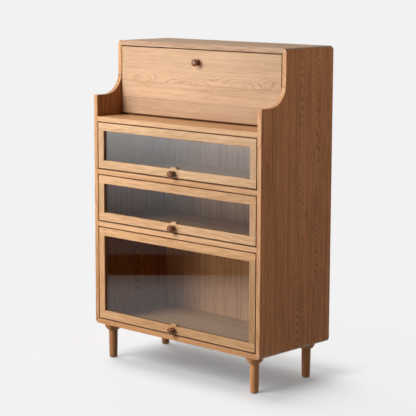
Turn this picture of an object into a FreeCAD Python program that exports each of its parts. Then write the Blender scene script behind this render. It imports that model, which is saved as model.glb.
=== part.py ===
"""Stepped oak cabinet with three lift-up glass doors and a drop-front compartment.

Sizes are millimetres. +X runs to the right along the front, +Y towards the wall and +Z up.
The origin lies on the floor, below the middle of the whole outline with its knobs.
"""
import FreeCAD, Part
import math
import os

from FreeCAD import Vector

# Carcass boards
CABINET_WIDTH = 800.0
CARCASS_DEPTH = 370.0
UPPER_DEPTH = 248.0
PANEL = 18.0
CORNER_RADIUS = 15.0
EDGE_ROUND = 1.5

# Clear heights between the boards, from the bottom up
LOWER_BAY = 345.0
MIDDLE_BAY = 173.0
UPPER_BAY = 173.0
TOP_BAY = 251.0

# Arm that each side panel makes beside the counter, and the scoop up to the top compartment
ARM_HEIGHT = 77.0
ARM_CORNER_RADIUS = 3.0
SCOOP_RADIUS = 77.0

# Back panel, housed in grooves and screwed to the shelves
BACK_THICKNESS = 9.0
BACK_RECESS = 13.0
GROOVE_DEPTH = 6.0
GROOVE_CLEARANCE = 0.2
BACK_SCREWS_PER_SHELF = 3
BACK_SCREW_INSET = 90.0
BACK_SCREW_LENGTH = 32.0
BACK_SCREW_DIAMETER = 4.0
BACK_SCREW_HEAD_DIAMETER = 8.0

# Loose splines in the mitred corners
SPLINE_THICKNESS = 4.0
SPLINE_WIDTH = 14.0
SPLINE_FROM_CORNER = 9.0
SPLINE_END_INSET = 25.0

# Dowels between the shelves and the side panels
DOWEL_DIAMETER = 8.0
DOWEL_LENGTH = 32.0
DOWEL_COVER = 7.0
DOWEL_INSET = 55.0
DOWELS_PER_END = 3

# Room left round glued and screwed pieces
FIT_CLEARANCE = 0.05
HOLE_END_CLEARANCE = 0.5

# Turned legs
LEG_HEIGHT = 128.0
LEG_INSET_X = 54.0
LEG_INSET_Y = 37.0
LEG_COLLAR_DIAMETER = 60.0
LEG_COLLAR_HEIGHT = 24.0
LEG_COLLAR_RIM = 5.5
LEG_TOP_DIAMETER = 33.0
LEG_FOOT_DIAMETER = 29.5
LEG_FOOT_ROUND = 2.5
FOOT_PAD_DIAMETER = 22.0
FOOT_PAD_THICKNESS = 2.0
LEG_BOLT_DIAMETER = 8.0
LEG_BOLT_IN_LEG = 40.0
LEG_INSERT_DIAMETER = 12.0
LEG_INSERT_COVER = 3.5

# Glass doors
REVEAL = 3.0
DOOR_THICKNESS = 20.0
STILE_WIDTH = 29.0
TOP_RAIL = 30.0
BOTTOM_RAIL = 31.0
DOOR_LIP = 6.0
OPENING_CHAMFER = 1.0
GLASS_THICKNESS = 4.0
REBATE_WIDTH = 8.0
GLASS_EDGE_GAP = 0.8
BEAD_ROUND = 3.0
TENON_LENGTH = 9.0
TENON_WIDTH = 12.0
TENON_THICKNESS = 6.0
TENON_EDGE = 6.0

# Rounded lobe of a bottom rail behind its knob
LOBE_RADIUS = 24.0
LOBE_FILLET = 6.0

# Drop-front flap, which lies down just above the counter
FLAP_THICKNESS = 20.0
FLAP_BOTTOM_GAP = 5.0
FLAP_REST_GAP = 1.0
FLAP_NOSE_RADIUS = 6.0
FLAP_PIVOT_ABOVE_EDGE = 8.0
FLAP_KNOB_BELOW_TOP = 43.0

# Pivots of the doors and of the flap
PIN_DIAMETER = 6.0
PIN_IN_DOOR = 16.0
DOOR_PIVOT_BELOW_TOP = 14.0
DOOR_PIVOT_BEHIND_FACE = 7.0
RUNNING_CLEARANCE = 0.05
BUSH_DIAMETER = 10.0
BUSH_FLANGE_DIAMETER = 14.0
BUSH_COVER = 6.5
BUSH_RUNNING_GAP = 1.0

# Turned knobs and their screws
KNOB_PROJECTION = 26.0
KNOB_FLANGE_DIAMETER = 23.0
KNOB_FLANGE_THICKNESS = 4.0
KNOB_RIM = 1.4
KNOB_NECK_DIAMETER = 11.0
KNOB_HEAD_DIAMETER = 26.0
KNOB_HEAD_START = 8.5
KNOB_HEAD_WIDEST = 17.0
KNOB_EDGE_RADIUS = 7.0
KNOB_BACK_TURN = 70.0
KNOB_SCREW_DIAMETER = 4.0
KNOB_SCREW_IN_KNOB = 12.0
KNOB_SCREW_HEAD_DIAMETER = 8.0
KNOB_SCREW_HEAD_HEIGHT = 2.6

# Magnetic catches and the plates they hold
CATCH_OFFSET = 70.0
CATCH_LENGTH = 46.0
CATCH_BODY_LENGTH = 28.0
CATCH_DEPTH = 15.0
CATCH_HEIGHT = 15.0
CATCH_EAR_THICKNESS = 3.0
CATCH_WALL = 3.0
CATCH_SCREW_DIAMETER = 3.0
CATCH_SCREW_LENGTH = 14.0
CATCH_SCREW_HEAD_DIAMETER = 5.5
CATCH_SCREW_HEAD_HEIGHT = 1.8
STRIKE_LENGTH = 24.0
STRIKE_HEIGHT = 10.0
STRIKE_THICKNESS = 1.5
STRIKE_GAP = 0.3

# Places across the width
OUTER_X = CABINET_WIDTH / 2
INNER_X = OUTER_X - PANEL
DOOR_X = INNER_X - REVEAL
OPENING_X = DOOR_X - STILE_WIDTH

# Places from front to back
FRONT_Y = (KNOB_PROJECTION - CARCASS_DEPTH) / 2
BACK_Y = FRONT_Y + CARCASS_DEPTH
UPPER_FRONT_Y = BACK_Y - UPPER_DEPTH
BACK_PANEL_Y = BACK_Y - BACK_RECESS - BACK_THICKNESS

# The scoop is a fillet inside the step of the side panels, so a shallow step limits it
STEP_DEPTH = CARCASS_DEPTH - UPPER_DEPTH
SCOOP_FILLET = min(SCOOP_RADIUS, STEP_DEPTH - 2 * ARM_CORNER_RADIUS)

# Heights above the floor
CARCASS_Z = LEG_HEIGHT
LOWER_BAY_Z = CARCASS_Z + PANEL
LOWER_SHELF_Z = LOWER_BAY_Z + LOWER_BAY
MIDDLE_BAY_Z = LOWER_SHELF_Z + PANEL
UPPER_SHELF_Z = MIDDLE_BAY_Z + MIDDLE_BAY
UPPER_BAY_Z = UPPER_SHELF_Z + PANEL
COUNTER_Z = UPPER_BAY_Z + UPPER_BAY
COUNTER_TOP_Z = COUNTER_Z + PANEL
TOP_PANEL_Z = COUNTER_TOP_Z + TOP_BAY
TOTAL_Z = TOP_PANEL_Z + PANEL
ARM_Z = COUNTER_TOP_Z + ARM_HEIGHT

# Bays closed by glass doors, as the floor of the bay and its clear height
DOOR_BAYS = {
    "lower": (LOWER_BAY_Z, LOWER_BAY),
    "middle": (MIDDLE_BAY_Z, MIDDLE_BAY),
    "upper": (UPPER_BAY_Z, UPPER_BAY),
}
SHELF_HEIGHTS = {
    "lower_shelf": LOWER_SHELF_Z,
    "upper_shelf": UPPER_SHELF_Z,
    "counter_panel": COUNTER_Z,
}

# The flap and its pivot, set so that the open flap clears the counter by the rest gap
FLAP_Z = COUNTER_TOP_Z + FLAP_BOTTOM_GAP
FLAP_TOP_Z = TOP_PANEL_Z - REVEAL
FLAP_PIVOT_Z = FLAP_Z + FLAP_PIVOT_ABOVE_EDGE
FLAP_PIVOT_Y = UPPER_FRONT_Y + FLAP_PIVOT_ABOVE_EDGE + FLAP_BOTTOM_GAP - FLAP_REST_GAP
FLAP_KNOB_Z = FLAP_TOP_Z - FLAP_KNOB_BELOW_TOP

# Pivot heights and depths of all four fronts
PIVOTS = [
    (DOOR_PIVOT_BEHIND_FACE + FRONT_Y, floor_z + height - REVEAL - DOOR_PIVOT_BELOW_TOP)
    for floor_z, height in DOOR_BAYS.values()
]
PIVOTS.append((FLAP_PIVOT_Y, FLAP_PIVOT_Z))

BUSH_DEPTH = PANEL - BUSH_COVER
DOWEL_IN_SIDE = PANEL - DOWEL_COVER
LEG_INSERT_LENGTH = PANEL - LEG_INSERT_COVER
TOUCH = 1e-4
RIGHT = Vector(1, 0, 0)
REARWARD = Vector(0, 1, 0)
UP = Vector(0, 0, 1)
MIDDLE = Vector(0, 0, 0)


def block(x_span, y_span, z_span):
    """Box between the low and high value given for each axis."""
    corner = Vector(x_span[0], y_span[0], z_span[0])
    return Part.makeBox(x_span[1] - x_span[0], y_span[1] - y_span[0], z_span[1] - z_span[0], corner)


def rod(start, axis, diameter, length):
    """Round bar from a start point along an axis."""
    return Part.makeCylinder(diameter / 2, length, start, axis)


def both_ways(half):
    """Span of one axis on both sides of the middle plane."""
    return (-half, half)


def arc(point_at, centre, radius, start, end):
    """Arc edge about a centre in a plane, given in degrees; point_at turns plane values into a point."""
    angles = [math.radians(start + (end - start) * share) for share in (0.0, 0.5, 1.0)]
    places = [
        point_at(centre[0] + radius * math.cos(angle), centre[1] + radius * math.sin(angle))
        for angle in angles
    ]
    return Part.Arc(*places).toShape()


def line(start, end):
    """Straight edge between two points."""
    return Part.LineSegment(start, end).toShape()


def chain(*items):
    """Edges of an outline, with straight edges filled in between points and arcs."""
    edges = []
    last = None
    for item in items:
        is_point = isinstance(item, Vector)
        first = item if is_point else item.valueAt(item.FirstParameter)
        if last is not None and last.distanceToPoint(first) > TOUCH:
            edges.append(line(last, first))
        if not is_point:
            edges.append(item)
        last = item if is_point else item.valueAt(item.LastParameter)
    return edges


def closed_face(*items):
    """Flat face inside the outline that the items run round."""
    edges = chain(*items)
    start = edges[0].valueAt(edges[0].FirstParameter)
    end = edges[-1].valueAt(edges[-1].LastParameter)
    if end.distanceToPoint(start) > TOUCH:
        edges.append(line(end, start))
    return Part.Face(Part.Wire(edges))


def middle_of(edge):
    """Point half way along an edge."""
    return edge.valueAt((edge.FirstParameter + edge.LastParameter) / 2)


def edges_where(solid, test):
    """Edges of a solid whose middle point passes a test."""
    return [edge for edge in solid.Edges if test(middle_of(edge))]


def near(value, target):
    """Whether two coordinates agree."""
    return abs(value - target) < TOUCH


def on_path(point, path):
    """Whether a point lies on one of a list of edges."""
    return Part.Vertex(point).distToShape(Part.Compound(path))[0] < TOUCH


def xz(x, z):
    """Point of the front elevation."""
    return Vector(x, 0, z)


def yz(y, z):
    """Point of the side elevation."""
    return Vector(0, y, z)


def mirrored(solid):
    """The same piece on the left-hand side."""
    return solid.mirror(MIDDLE, RIGHT)


def group(solids):
    """Several separate solids kept under one name."""
    return Part.Compound(solids)


def cut_all(solid, tools):
    """A solid with every tool taken out of it."""
    return solid.cut(tools).removeSplitter() if tools else solid


def turned(items):
    """Solid of revolution about +Z from an outline of radius and height, listed from the top down."""
    return closed_face(*items).revolve(MIDDLE, UP, 360)


def corner_arc(x_sign, z_sign, start, end):
    """Part of a rounded outer corner of the carcass, seen from the front."""
    x_centre = x_sign * (OUTER_X - CORNER_RADIUS)
    z_centre = CARCASS_Z + CORNER_RADIUS if z_sign < 0 else TOTAL_Z - CORNER_RADIUS
    return arc(xz, (x_centre, z_centre), CORNER_RADIUS, start, end)


def even_places(low, high, count):
    """Evenly spread places from low to high, both included."""
    return [low + (high - low) * index / (count - 1) for index in range(count)]


def mitre_spline(x_sign, z_corner, z_sign, y_span, allowance):
    """Spline, or its groove with an allowance, square across a mitred corner."""
    half_width = SPLINE_WIDTH / 2 + allowance * HOLE_END_CLEARANCE / FIT_CLEARANCE
    half_thickness = SPLINE_THICKNESS / 2 + allowance
    bar = block(both_ways(half_width), y_span, both_ways(half_thickness))
    bar.rotate(MIDDLE, REARWARD, -45 * x_sign * z_sign)
    reach = SPLINE_FROM_CORNER / math.sqrt(2)
    bar.translate(Vector(x_sign * (INNER_X + reach), 0, z_corner + z_sign * reach))
    return bar


def all_splines(allowance):
    """The four corner splines, or their grooves with an allowance."""
    bars = []
    end = BACK_PANEL_Y - SPLINE_END_INSET
    for x_sign in (-1, 1):
        for z_corner, z_sign, front in ((LOWER_BAY_Z, -1, FRONT_Y), (TOP_PANEL_Z, 1, UPPER_FRONT_Y)):
            span = (front + SPLINE_END_INSET, end)
            bars.append(mitre_spline(x_sign, z_corner, z_sign, span, allowance))
    return bars


def back_groove():
    """Groove that houses the back panel in the sides, top and bottom."""
    return block(
        both_ways(INNER_X + GROOVE_DEPTH),
        (BACK_PANEL_Y - GROOVE_CLEARANCE, BACK_PANEL_Y + BACK_THICKNESS + GROOVE_CLEARANCE),
        (LOWER_BAY_Z - GROOVE_DEPTH, TOP_PANEL_Z + GROOVE_DEPTH),
    )


def dowels(allowance, end_allowance):
    """Dowels at both ends of every shelf, or their holes with allowances."""
    bars = []
    places = even_places(FRONT_Y + DOWEL_INSET, BACK_PANEL_Y - DOWEL_INSET, DOWELS_PER_END)
    for shelf_z in SHELF_HEIGHTS.values():
        for y in places:
            start = Vector(INNER_X + DOWEL_IN_SIDE - DOWEL_LENGTH - end_allowance, y, shelf_z + PANEL / 2)
            bar = rod(start, RIGHT, DOWEL_DIAMETER + 2 * allowance, DOWEL_LENGTH + 2 * end_allowance)
            bars.extend([bar, mirrored(bar)])
    return bars


def bush_holes():
    """Blind holes in the side panels for the pivot bushes."""
    holes = []
    for y, z in PIVOTS:
        hole = rod(
            Vector(INNER_X, y, z), RIGHT, BUSH_DIAMETER + 2 * FIT_CLEARANCE, BUSH_DEPTH + HOLE_END_CLEARANCE
        )
        holes.extend([hole, mirrored(hole)])
    return holes


def side_panel():
    """Right-hand side: stepped and scooped front, mitred ends, rounded outer corners."""
    front_path = chain(
        yz(FRONT_Y, CARCASS_Z),
        arc(yz, (FRONT_Y + ARM_CORNER_RADIUS, ARM_Z - ARM_CORNER_RADIUS), ARM_CORNER_RADIUS, 180, 90),
        arc(yz, (UPPER_FRONT_Y - SCOOP_FILLET, ARM_Z + SCOOP_FILLET), SCOOP_FILLET, -90, 0),
        yz(UPPER_FRONT_Y, TOTAL_Z),
    )
    elevation = closed_face(*front_path, yz(BACK_Y, TOTAL_Z), yz(BACK_Y, CARCASS_Z))
    outer_path = chain(corner_arc(1, -1, -45, 0), corner_arc(1, 1, 0, 45))
    inner_path = [line(xz(INNER_X, TOP_PANEL_Z), xz(INNER_X, LOWER_BAY_Z))]
    section = closed_face(*outer_path, *inner_path)
    blank = elevation.extrude(Vector(OUTER_X, 0, 0))
    bar = section.extrude(Vector(0, CARCASS_DEPTH, 0))
    bar.translate(Vector(0, FRONT_Y, 0))
    panel = blank.common(bar)

    def on_front_edge(point):
        seen_from_side = on_path(yz(point.y, point.z), front_path)
        return seen_from_side and on_path(xz(point.x, point.z), outer_path + inner_path)

    runs = [edge for edge in edges_where(panel, on_front_edge) if not runs_across(edge)]
    panel = panel.makeFillet(EDGE_ROUND, runs)
    tools = [back_groove()] + all_splines(FIT_CLEARANCE) + bush_holes()
    return cut_all(panel, tools + dowels(FIT_CLEARANCE, HOLE_END_CLEARANCE))


def runs_across(edge):
    """Whether an edge runs straight across the width."""
    start, end = [vertex.Point for vertex in edge.Vertexes]
    return near(start.y, end.y) and near(start.z, end.z)


def end_board(z_sign, front):
    """Mitred board with rounded outer corners: the top panel or the bottom panel."""
    if z_sign < 0:
        outer_path = chain(corner_arc(-1, -1, -135, -90), corner_arc(1, -1, -90, -45))
        inner_path = [line(xz(INNER_X, LOWER_BAY_Z), xz(-INNER_X, LOWER_BAY_Z))]
    else:
        outer_path = chain(corner_arc(1, 1, 45, 90), corner_arc(-1, 1, 90, 135))
        inner_path = [line(xz(-INNER_X, TOP_PANEL_Z), xz(INNER_X, TOP_PANEL_Z))]
    board = closed_face(*outer_path, *inner_path).extrude(Vector(0, BACK_Y - front, 0))
    board.translate(Vector(0, front, 0))

    def on_front_edge(point):
        return near(point.y, front) and on_path(xz(point.x, point.z), outer_path + inner_path)

    board = board.makeFillet(EDGE_ROUND, edges_where(board, on_front_edge))
    return cut_all(board, [back_groove()] + all_splines(FIT_CLEARANCE))


def shelf(shelf_z):
    """Full-depth board between the sides, with softened front edges and dowel holes."""
    board = block(both_ways(INNER_X), (FRONT_Y, BACK_PANEL_Y), (shelf_z, shelf_z + PANEL))
    front_edges = edges_where(board, lambda point: near(point.y, FRONT_Y) and near(point.x, 0))
    board = board.makeFillet(EDGE_ROUND, front_edges)
    holes = dowels(FIT_CLEARANCE, HOLE_END_CLEARANCE) + back_screws(FIT_CLEARANCE, HOLE_END_CLEARANCE)
    return cut_all(board, holes)


def back_panel():
    """Board held in the grooves behind all the bays."""
    reach = GROOVE_DEPTH - GROOVE_CLEARANCE
    board = block(
        both_ways(INNER_X + reach),
        (BACK_PANEL_Y, BACK_PANEL_Y + BACK_THICKNESS),
        (LOWER_BAY_Z - reach, TOP_PANEL_Z + reach),
    )
    return cut_all(board, back_screws(FIT_CLEARANCE, HOLE_END_CLEARANCE))


def back_screws(allowance, end_allowance):
    """Countersunk screws through the back panel into the shelves, or their holes with allowances."""
    screws = []
    rear = BACK_PANEL_Y + BACK_THICKNESS
    shank = BACK_SCREW_DIAMETER / 2 + allowance
    head = BACK_SCREW_HEAD_DIAMETER / 2 + allowance
    countersink = head - shank
    tip_z = -BACK_SCREW_LENGTH - end_allowance
    for shelf_z in SHELF_HEIGHTS.values():
        for x in even_places(BACK_SCREW_INSET - INNER_X, INNER_X - BACK_SCREW_INSET, BACK_SCREWS_PER_SHELF):
            outline = [
                xz(0, 0),
                xz(head, 0),
                xz(shank, -countersink),
                xz(shank, tip_z + shank),
                xz(0, tip_z),
            ]
            screw = turned(outline)
            screw.rotate(MIDDLE, RIGHT, -90)
            screw.translate(Vector(x, rear, shelf_z + PANEL / 2))
            screws.append(screw)
    return screws


def leg_places():
    """Leg names with the place of each leg's axis on the floor."""
    rows = {"front": FRONT_Y + LEG_INSET_Y, "back": BACK_PANEL_Y - LEG_INSET_Y}
    sides = {"left": LEG_INSET_X - OUTER_X, "right": OUTER_X - LEG_INSET_X}
    return {
        row + "_" + side + "_leg": Vector(x, y, 0)
        for row, y in rows.items()
        for side, x in sides.items()
    }


def leg():
    """Turned leg: a cupped collar under the carcass and a slim tapering shaft."""
    collar = LEG_COLLAR_DIAMETER / 2
    shaft = LEG_TOP_DIAMETER / 2
    foot = LEG_FOOT_DIAMETER / 2
    cup_run = collar - shaft
    cup_drop = LEG_COLLAR_HEIGHT - LEG_COLLAR_RIM
    cup_radius = (cup_run ** 2 + cup_drop ** 2) / (2 * cup_run)
    cup_turn = math.degrees(math.atan2(cup_drop, cup_radius - cup_run))
    cup_centre = (collar - cup_radius, LEG_HEIGHT - LEG_COLLAR_RIM)
    foot_arc_centre = (foot - LEG_FOOT_ROUND, FOOT_PAD_THICKNESS + LEG_FOOT_ROUND)
    solid = turned([
        xz(0, LEG_HEIGHT),
        xz(collar, LEG_HEIGHT),
        arc(xz, cup_centre, cup_radius, 0, -cup_turn),
        arc(xz, foot_arc_centre, LEG_FOOT_ROUND, 0, -90),
        xz(0, FOOT_PAD_THICKNESS),
    ])
    bolt_hole = rod(
        Vector(0, 0, LEG_HEIGHT - LEG_BOLT_IN_LEG - HOLE_END_CLEARANCE),
        UP,
        LEG_BOLT_DIAMETER + 2 * FIT_CLEARANCE,
        LEG_BOLT_IN_LEG + HOLE_END_CLEARANCE,
    )
    return solid.cut(bolt_hole)


def leg_bolt():
    """Headless bolt from the leg up into its insert."""
    return rod(
        Vector(0, 0, LEG_HEIGHT - LEG_BOLT_IN_LEG), UP, LEG_BOLT_DIAMETER, LEG_BOLT_IN_LEG + LEG_INSERT_LENGTH
    )


def leg_insert_blank(allowance):
    """Outer form of the threaded insert in the bottom panel."""
    length = LEG_INSERT_LENGTH + allowance
    return rod(Vector(0, 0, CARCASS_Z), UP, LEG_INSERT_DIAMETER + 2 * allowance, length)


def leg_insert():
    """Brass sleeve that the leg bolt screws into."""
    bore = rod(Vector(0, 0, CARCASS_Z), UP, LEG_BOLT_DIAMETER + 2 * FIT_CLEARANCE, LEG_INSERT_LENGTH)
    return leg_insert_blank(0.0).cut(bore)


def foot_pad():
    """Felt disc under a leg."""
    return rod(MIDDLE, UP, FOOT_PAD_DIAMETER, FOOT_PAD_THICKNESS)


def placed(solid, place):
    """Copy of a solid moved to a place."""
    copy = solid.copy()
    copy.translate(place)
    return copy


def at_every_leg(solid):
    """Copies of a solid at all four legs."""
    return [placed(solid, place) for place in leg_places().values()]


def pivot_bushes():
    """Flanged sleeves in the side panels that the pivot pins turn in."""
    flange = REVEAL - BUSH_RUNNING_GAP
    bushes = []
    for y, z in PIVOTS:
        sleeve = rod(Vector(INNER_X - flange, y, z), RIGHT, BUSH_DIAMETER, BUSH_DEPTH + flange)
        rim = rod(Vector(INNER_X - flange, y, z), RIGHT, BUSH_FLANGE_DIAMETER, flange)
        bore_diameter = PIN_DIAMETER + 2 * RUNNING_CLEARANCE
        bore = rod(Vector(INNER_X - flange, y, z), RIGHT, bore_diameter, BUSH_DEPTH + flange)
        bush = sleeve.fuse(rim).cut(bore).removeSplitter()
        bushes.extend([bush, mirrored(bush)])
    return bushes


def pivot_pins(y, z):
    """Steel pins at both ends of a door or flap."""
    length = PIN_IN_DOOR + REVEAL + BUSH_DEPTH
    pin = rod(Vector(DOOR_X - PIN_IN_DOOR, y, z), RIGHT, PIN_DIAMETER, length)
    return [pin, mirrored(pin)]


def pivot_pin_holes(y, z):
    """Blind holes for the pins in the ends of a door or flap."""
    depth = PIN_IN_DOOR + HOLE_END_CLEARANCE
    hole = rod(Vector(DOOR_X - depth, y, z), RIGHT, PIN_DIAMETER + 2 * FIT_CLEARANCE, depth)
    return [hole, mirrored(hole)]


def knob(face_y, z):
    """Turned knob: a flange, a thin neck and a flattened ball, standing out from a face."""
    flange = KNOB_FLANGE_DIAMETER / 2
    neck = KNOB_NECK_DIAMETER / 2
    head = KNOB_HEAD_DIAMETER / 2
    rim_x = head - KNOB_EDGE_RADIUS
    crown_rise = KNOB_PROJECTION - KNOB_EDGE_RADIUS - KNOB_HEAD_WIDEST
    crown_drop = (rim_x ** 2 - crown_rise ** 2) / (2 * crown_rise)
    crown_turn = math.degrees(math.atan2(crown_drop, rim_x))
    crown_z = KNOB_HEAD_WIDEST - crown_drop
    back_radius = KNOB_HEAD_WIDEST - KNOB_HEAD_START
    head_back = arc(xz, (head - back_radius, KNOB_HEAD_WIDEST), back_radius, 0, -KNOB_BACK_TURN)
    shoulder = head_back.valueAt(head_back.LastParameter)
    flange_radius = KNOB_FLANGE_THICKNESS - KNOB_RIM
    flange_top = xz(flange - flange_radius, KNOB_FLANGE_THICKNESS)
    solid = turned([
        arc(xz, (0, crown_z), KNOB_PROJECTION - crown_z, 90, crown_turn),
        arc(xz, (rim_x, KNOB_HEAD_WIDEST), KNOB_EDGE_RADIUS, crown_turn, 0),
        head_back,
        Part.Arc(shoulder, xz(neck, (shoulder.z + flange_top.z) / 2), flange_top).toShape(),
        arc(xz, (flange_top.x, KNOB_RIM), flange_radius, 90, 0),
        xz(flange, 0),
        xz(0, 0),
    ])
    depth = KNOB_SCREW_IN_KNOB + HOLE_END_CLEARANCE
    solid = solid.cut(rod(MIDDLE, UP, KNOB_SCREW_DIAMETER + 2 * FIT_CLEARANCE, depth))
    solid.rotate(MIDDLE, RIGHT, 90)
    solid.translate(Vector(0, face_y, z))
    return solid


def knob_screw(face_y, z, thickness):
    """Screw from behind a front into its knob."""
    rear = face_y + thickness
    shank = rod(Vector(0, face_y - KNOB_SCREW_IN_KNOB, z), REARWARD, KNOB_SCREW_DIAMETER,
                thickness + KNOB_SCREW_IN_KNOB)
    head = rod(Vector(0, rear, z), REARWARD, KNOB_SCREW_HEAD_DIAMETER, KNOB_SCREW_HEAD_HEIGHT)
    return shank.fuse(head).removeSplitter()


def knob_screw_hole(face_y, z, thickness):
    """Clear hole through a front for its knob screw."""
    return rod(Vector(0, face_y, z), REARWARD, KNOB_SCREW_DIAMETER + 2 * FIT_CLEARANCE, thickness)


def opening_face(low, high, knob_z):
    """Glass opening of a door seen from the front, with the lobe standing up into it."""
    rail_z = low + BOTTOM_RAIL
    top_z = high - TOP_RAIL
    fillet_z = rail_z + LOBE_FILLET
    reach = LOBE_RADIUS + LOBE_FILLET
    fillet_x = math.sqrt(reach ** 2 - (fillet_z - knob_z) ** 2)
    turn = math.degrees(math.atan2(fillet_z - knob_z, fillet_x))
    return closed_face(
        xz(-OPENING_X, top_z),
        xz(-OPENING_X, rail_z),
        arc(xz, (-fillet_x, fillet_z), LOBE_FILLET, -90, -turn),
        arc(xz, (0, knob_z), LOBE_RADIUS, 180 - turn, turn),
        arc(xz, (fillet_x, fillet_z), LOBE_FILLET, 180 + turn, 270),
        xz(OPENING_X, rail_z),
        xz(OPENING_X, top_z),
    )


def door_ring(low, high, knob_z):
    """Whole door frame before it is parted into rails and stiles."""
    ring = block(both_ways(DOOR_X), (FRONT_Y, FRONT_Y + DOOR_THICKNESS), (low, high))
    ring = ring.makeFillet(EDGE_ROUND, edges_where(ring, lambda point: near(point.y, FRONT_Y)))
    opening = opening_face(low, high, knob_z)
    hole = opening.extrude(Vector(0, DOOR_THICKNESS, 0))
    hole.translate(Vector(0, FRONT_Y, 0))
    ring = ring.cut(hole)

    def on_opening_edge(point):
        return near(point.y, FRONT_Y) and on_path(xz(point.x, point.z), opening.Edges)

    ring = ring.makeChamfer(OPENING_CHAMFER, edges_where(ring, on_opening_edge))
    return ring.cut(glass_rebate(low, high))


def glass_rebate(low, high):
    """Recess behind the lip of a door for its glass and beads."""
    return block(
        both_ways(OPENING_X + REBATE_WIDTH),
        (FRONT_Y + DOOR_LIP, FRONT_Y + DOOR_THICKNESS),
        (low + BOTTOM_RAIL - REBATE_WIDTH, high - TOP_RAIL + REBATE_WIDTH),
    )


def tenon_pair(low, high, allowance, end_allowance):
    """Tenons of the right stile, or their mortises with allowances, as one bar through the stile."""
    middle_y = FRONT_Y + DOOR_THICKNESS / 2
    half_thickness = TENON_THICKNESS / 2 + allowance
    return block(
        (DOOR_X - TENON_EDGE - TENON_WIDTH - allowance, DOOR_X - TENON_EDGE + allowance),
        (middle_y - half_thickness, middle_y + half_thickness),
        (low + BOTTOM_RAIL - TENON_LENGTH - end_allowance, high - TOP_RAIL + TENON_LENGTH + end_allowance),
    )


def door_frame(name, low, high, knob_z):
    """Rails and stiles of one door, with the stiles tenoned into the rails."""
    ring = door_ring(low, high, knob_z)
    right_zone = block(
        (OPENING_X - OPENING_CHAMFER, DOOR_X),
        (FRONT_Y, FRONT_Y + DOOR_THICKNESS),
        (low + BOTTOM_RAIL, high - TOP_RAIL),
    )
    stile = ring.common(right_zone).fuse(tenon_pair(low, high, 0.0, 0.0)).removeSplitter()
    mortises = tenon_pair(low, high, FIT_CLEARANCE, HOLE_END_CLEARANCE)
    tools = [right_zone, mirrored(right_zone), mortises, mirrored(mortises)]
    tools += pivot_pin_holes(FRONT_Y + DOOR_PIVOT_BEHIND_FACE, high - DOOR_PIVOT_BELOW_TOP)
    tools.append(knob_screw_hole(FRONT_Y, knob_z, DOOR_THICKNESS))
    rails = sorted(ring.cut(tools).Solids, key=lambda solid: solid.CenterOfMass.z)
    return {
        name + "_door_bottom_rail": rails[0],
        name + "_door_top_rail": rails[1],
        name + "_door_left_stile": mirrored(stile),
        name + "_door_right_stile": stile,
    }


def glazing_beads(low, high):
    """Four strips behind the glass, rounded on the edge that shows."""
    depth = (FRONT_Y + DOOR_LIP + GLASS_THICKNESS, FRONT_Y + DOOR_THICKNESS)
    rail_z = low + BOTTOM_RAIL
    top_z = high - TOP_RAIL
    outer_x = OPENING_X + REBATE_WIDTH
    bottom = block(both_ways(outer_x), depth, (rail_z - REBATE_WIDTH, rail_z))
    top = block(both_ways(outer_x), depth, (top_z, top_z + REBATE_WIDTH))
    right = block((OPENING_X, outer_x), depth, (rail_z, top_z))
    tests = [
        (bottom, lambda point: near(point.z, rail_z) and near(point.x, 0)),
        (top, lambda point: near(point.z, top_z) and near(point.x, 0)),
        (right, lambda point: near(point.x, OPENING_X) and rail_z < point.z - TOUCH < top_z - 2 * TOUCH),
    ]
    beads = []
    for bead, test in tests:
        shown = edges_where(bead, lambda point: near(point.y, depth[1]) and test(point))
        beads.append(bead.makeFillet(BEAD_ROUND, shown))
    return beads + [mirrored(beads[-1])]


def glass_pane(low, high):
    """Clear pane that lies against the lip of a door."""
    inset = REBATE_WIDTH - GLASS_EDGE_GAP
    return block(
        both_ways(OPENING_X + inset),
        (FRONT_Y + DOOR_LIP, FRONT_Y + DOOR_LIP + GLASS_THICKNESS),
        (low + BOTTOM_RAIL - inset, high - TOP_RAIL + inset),
    )


def strike_plate(rear_y, z_middle):
    """Steel plate on the back of a front, facing its catch."""
    half = STRIKE_LENGTH / 2
    return block(
        (CATCH_OFFSET - half, CATCH_OFFSET + half),
        (rear_y, rear_y + STRIKE_THICKNESS),
        (z_middle - STRIKE_HEIGHT / 2, z_middle + STRIKE_HEIGHT / 2),
    )


def catch_magnet_middle():
    """Height of a catch's magnet above the board that the catch is screwed to."""
    return REVEAL + EDGE_ROUND + STRIKE_HEIGHT / 2


def catch_parts():
    """Housing, magnet and screws of one catch, standing on a board with its face at y = 0."""
    half = CATCH_LENGTH / 2
    body_half = CATCH_BODY_LENGTH / 2
    ears = block(both_ways(half), (0, CATCH_DEPTH), (0, CATCH_EAR_THICKNESS))
    body = block(both_ways(body_half), (0, CATCH_DEPTH), (0, CATCH_HEIGHT))
    pocket_half = body_half - CATCH_WALL
    magnet = block(
        both_ways(pocket_half - FIT_CLEARANCE),
        (0, CATCH_DEPTH - CATCH_WALL),
        (CATCH_EAR_THICKNESS + FIT_CLEARANCE, CATCH_HEIGHT - CATCH_WALL - FIT_CLEARANCE),
    )
    pocket = block(
        both_ways(pocket_half),
        (0, CATCH_DEPTH - CATCH_WALL),
        (CATCH_EAR_THICKNESS, CATCH_HEIGHT - CATCH_WALL),
    )
    housing = ears.fuse(body).cut([pocket] + catch_screws(FIT_CLEARANCE)).removeSplitter()
    return housing, magnet, catch_screws(0.0)


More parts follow.
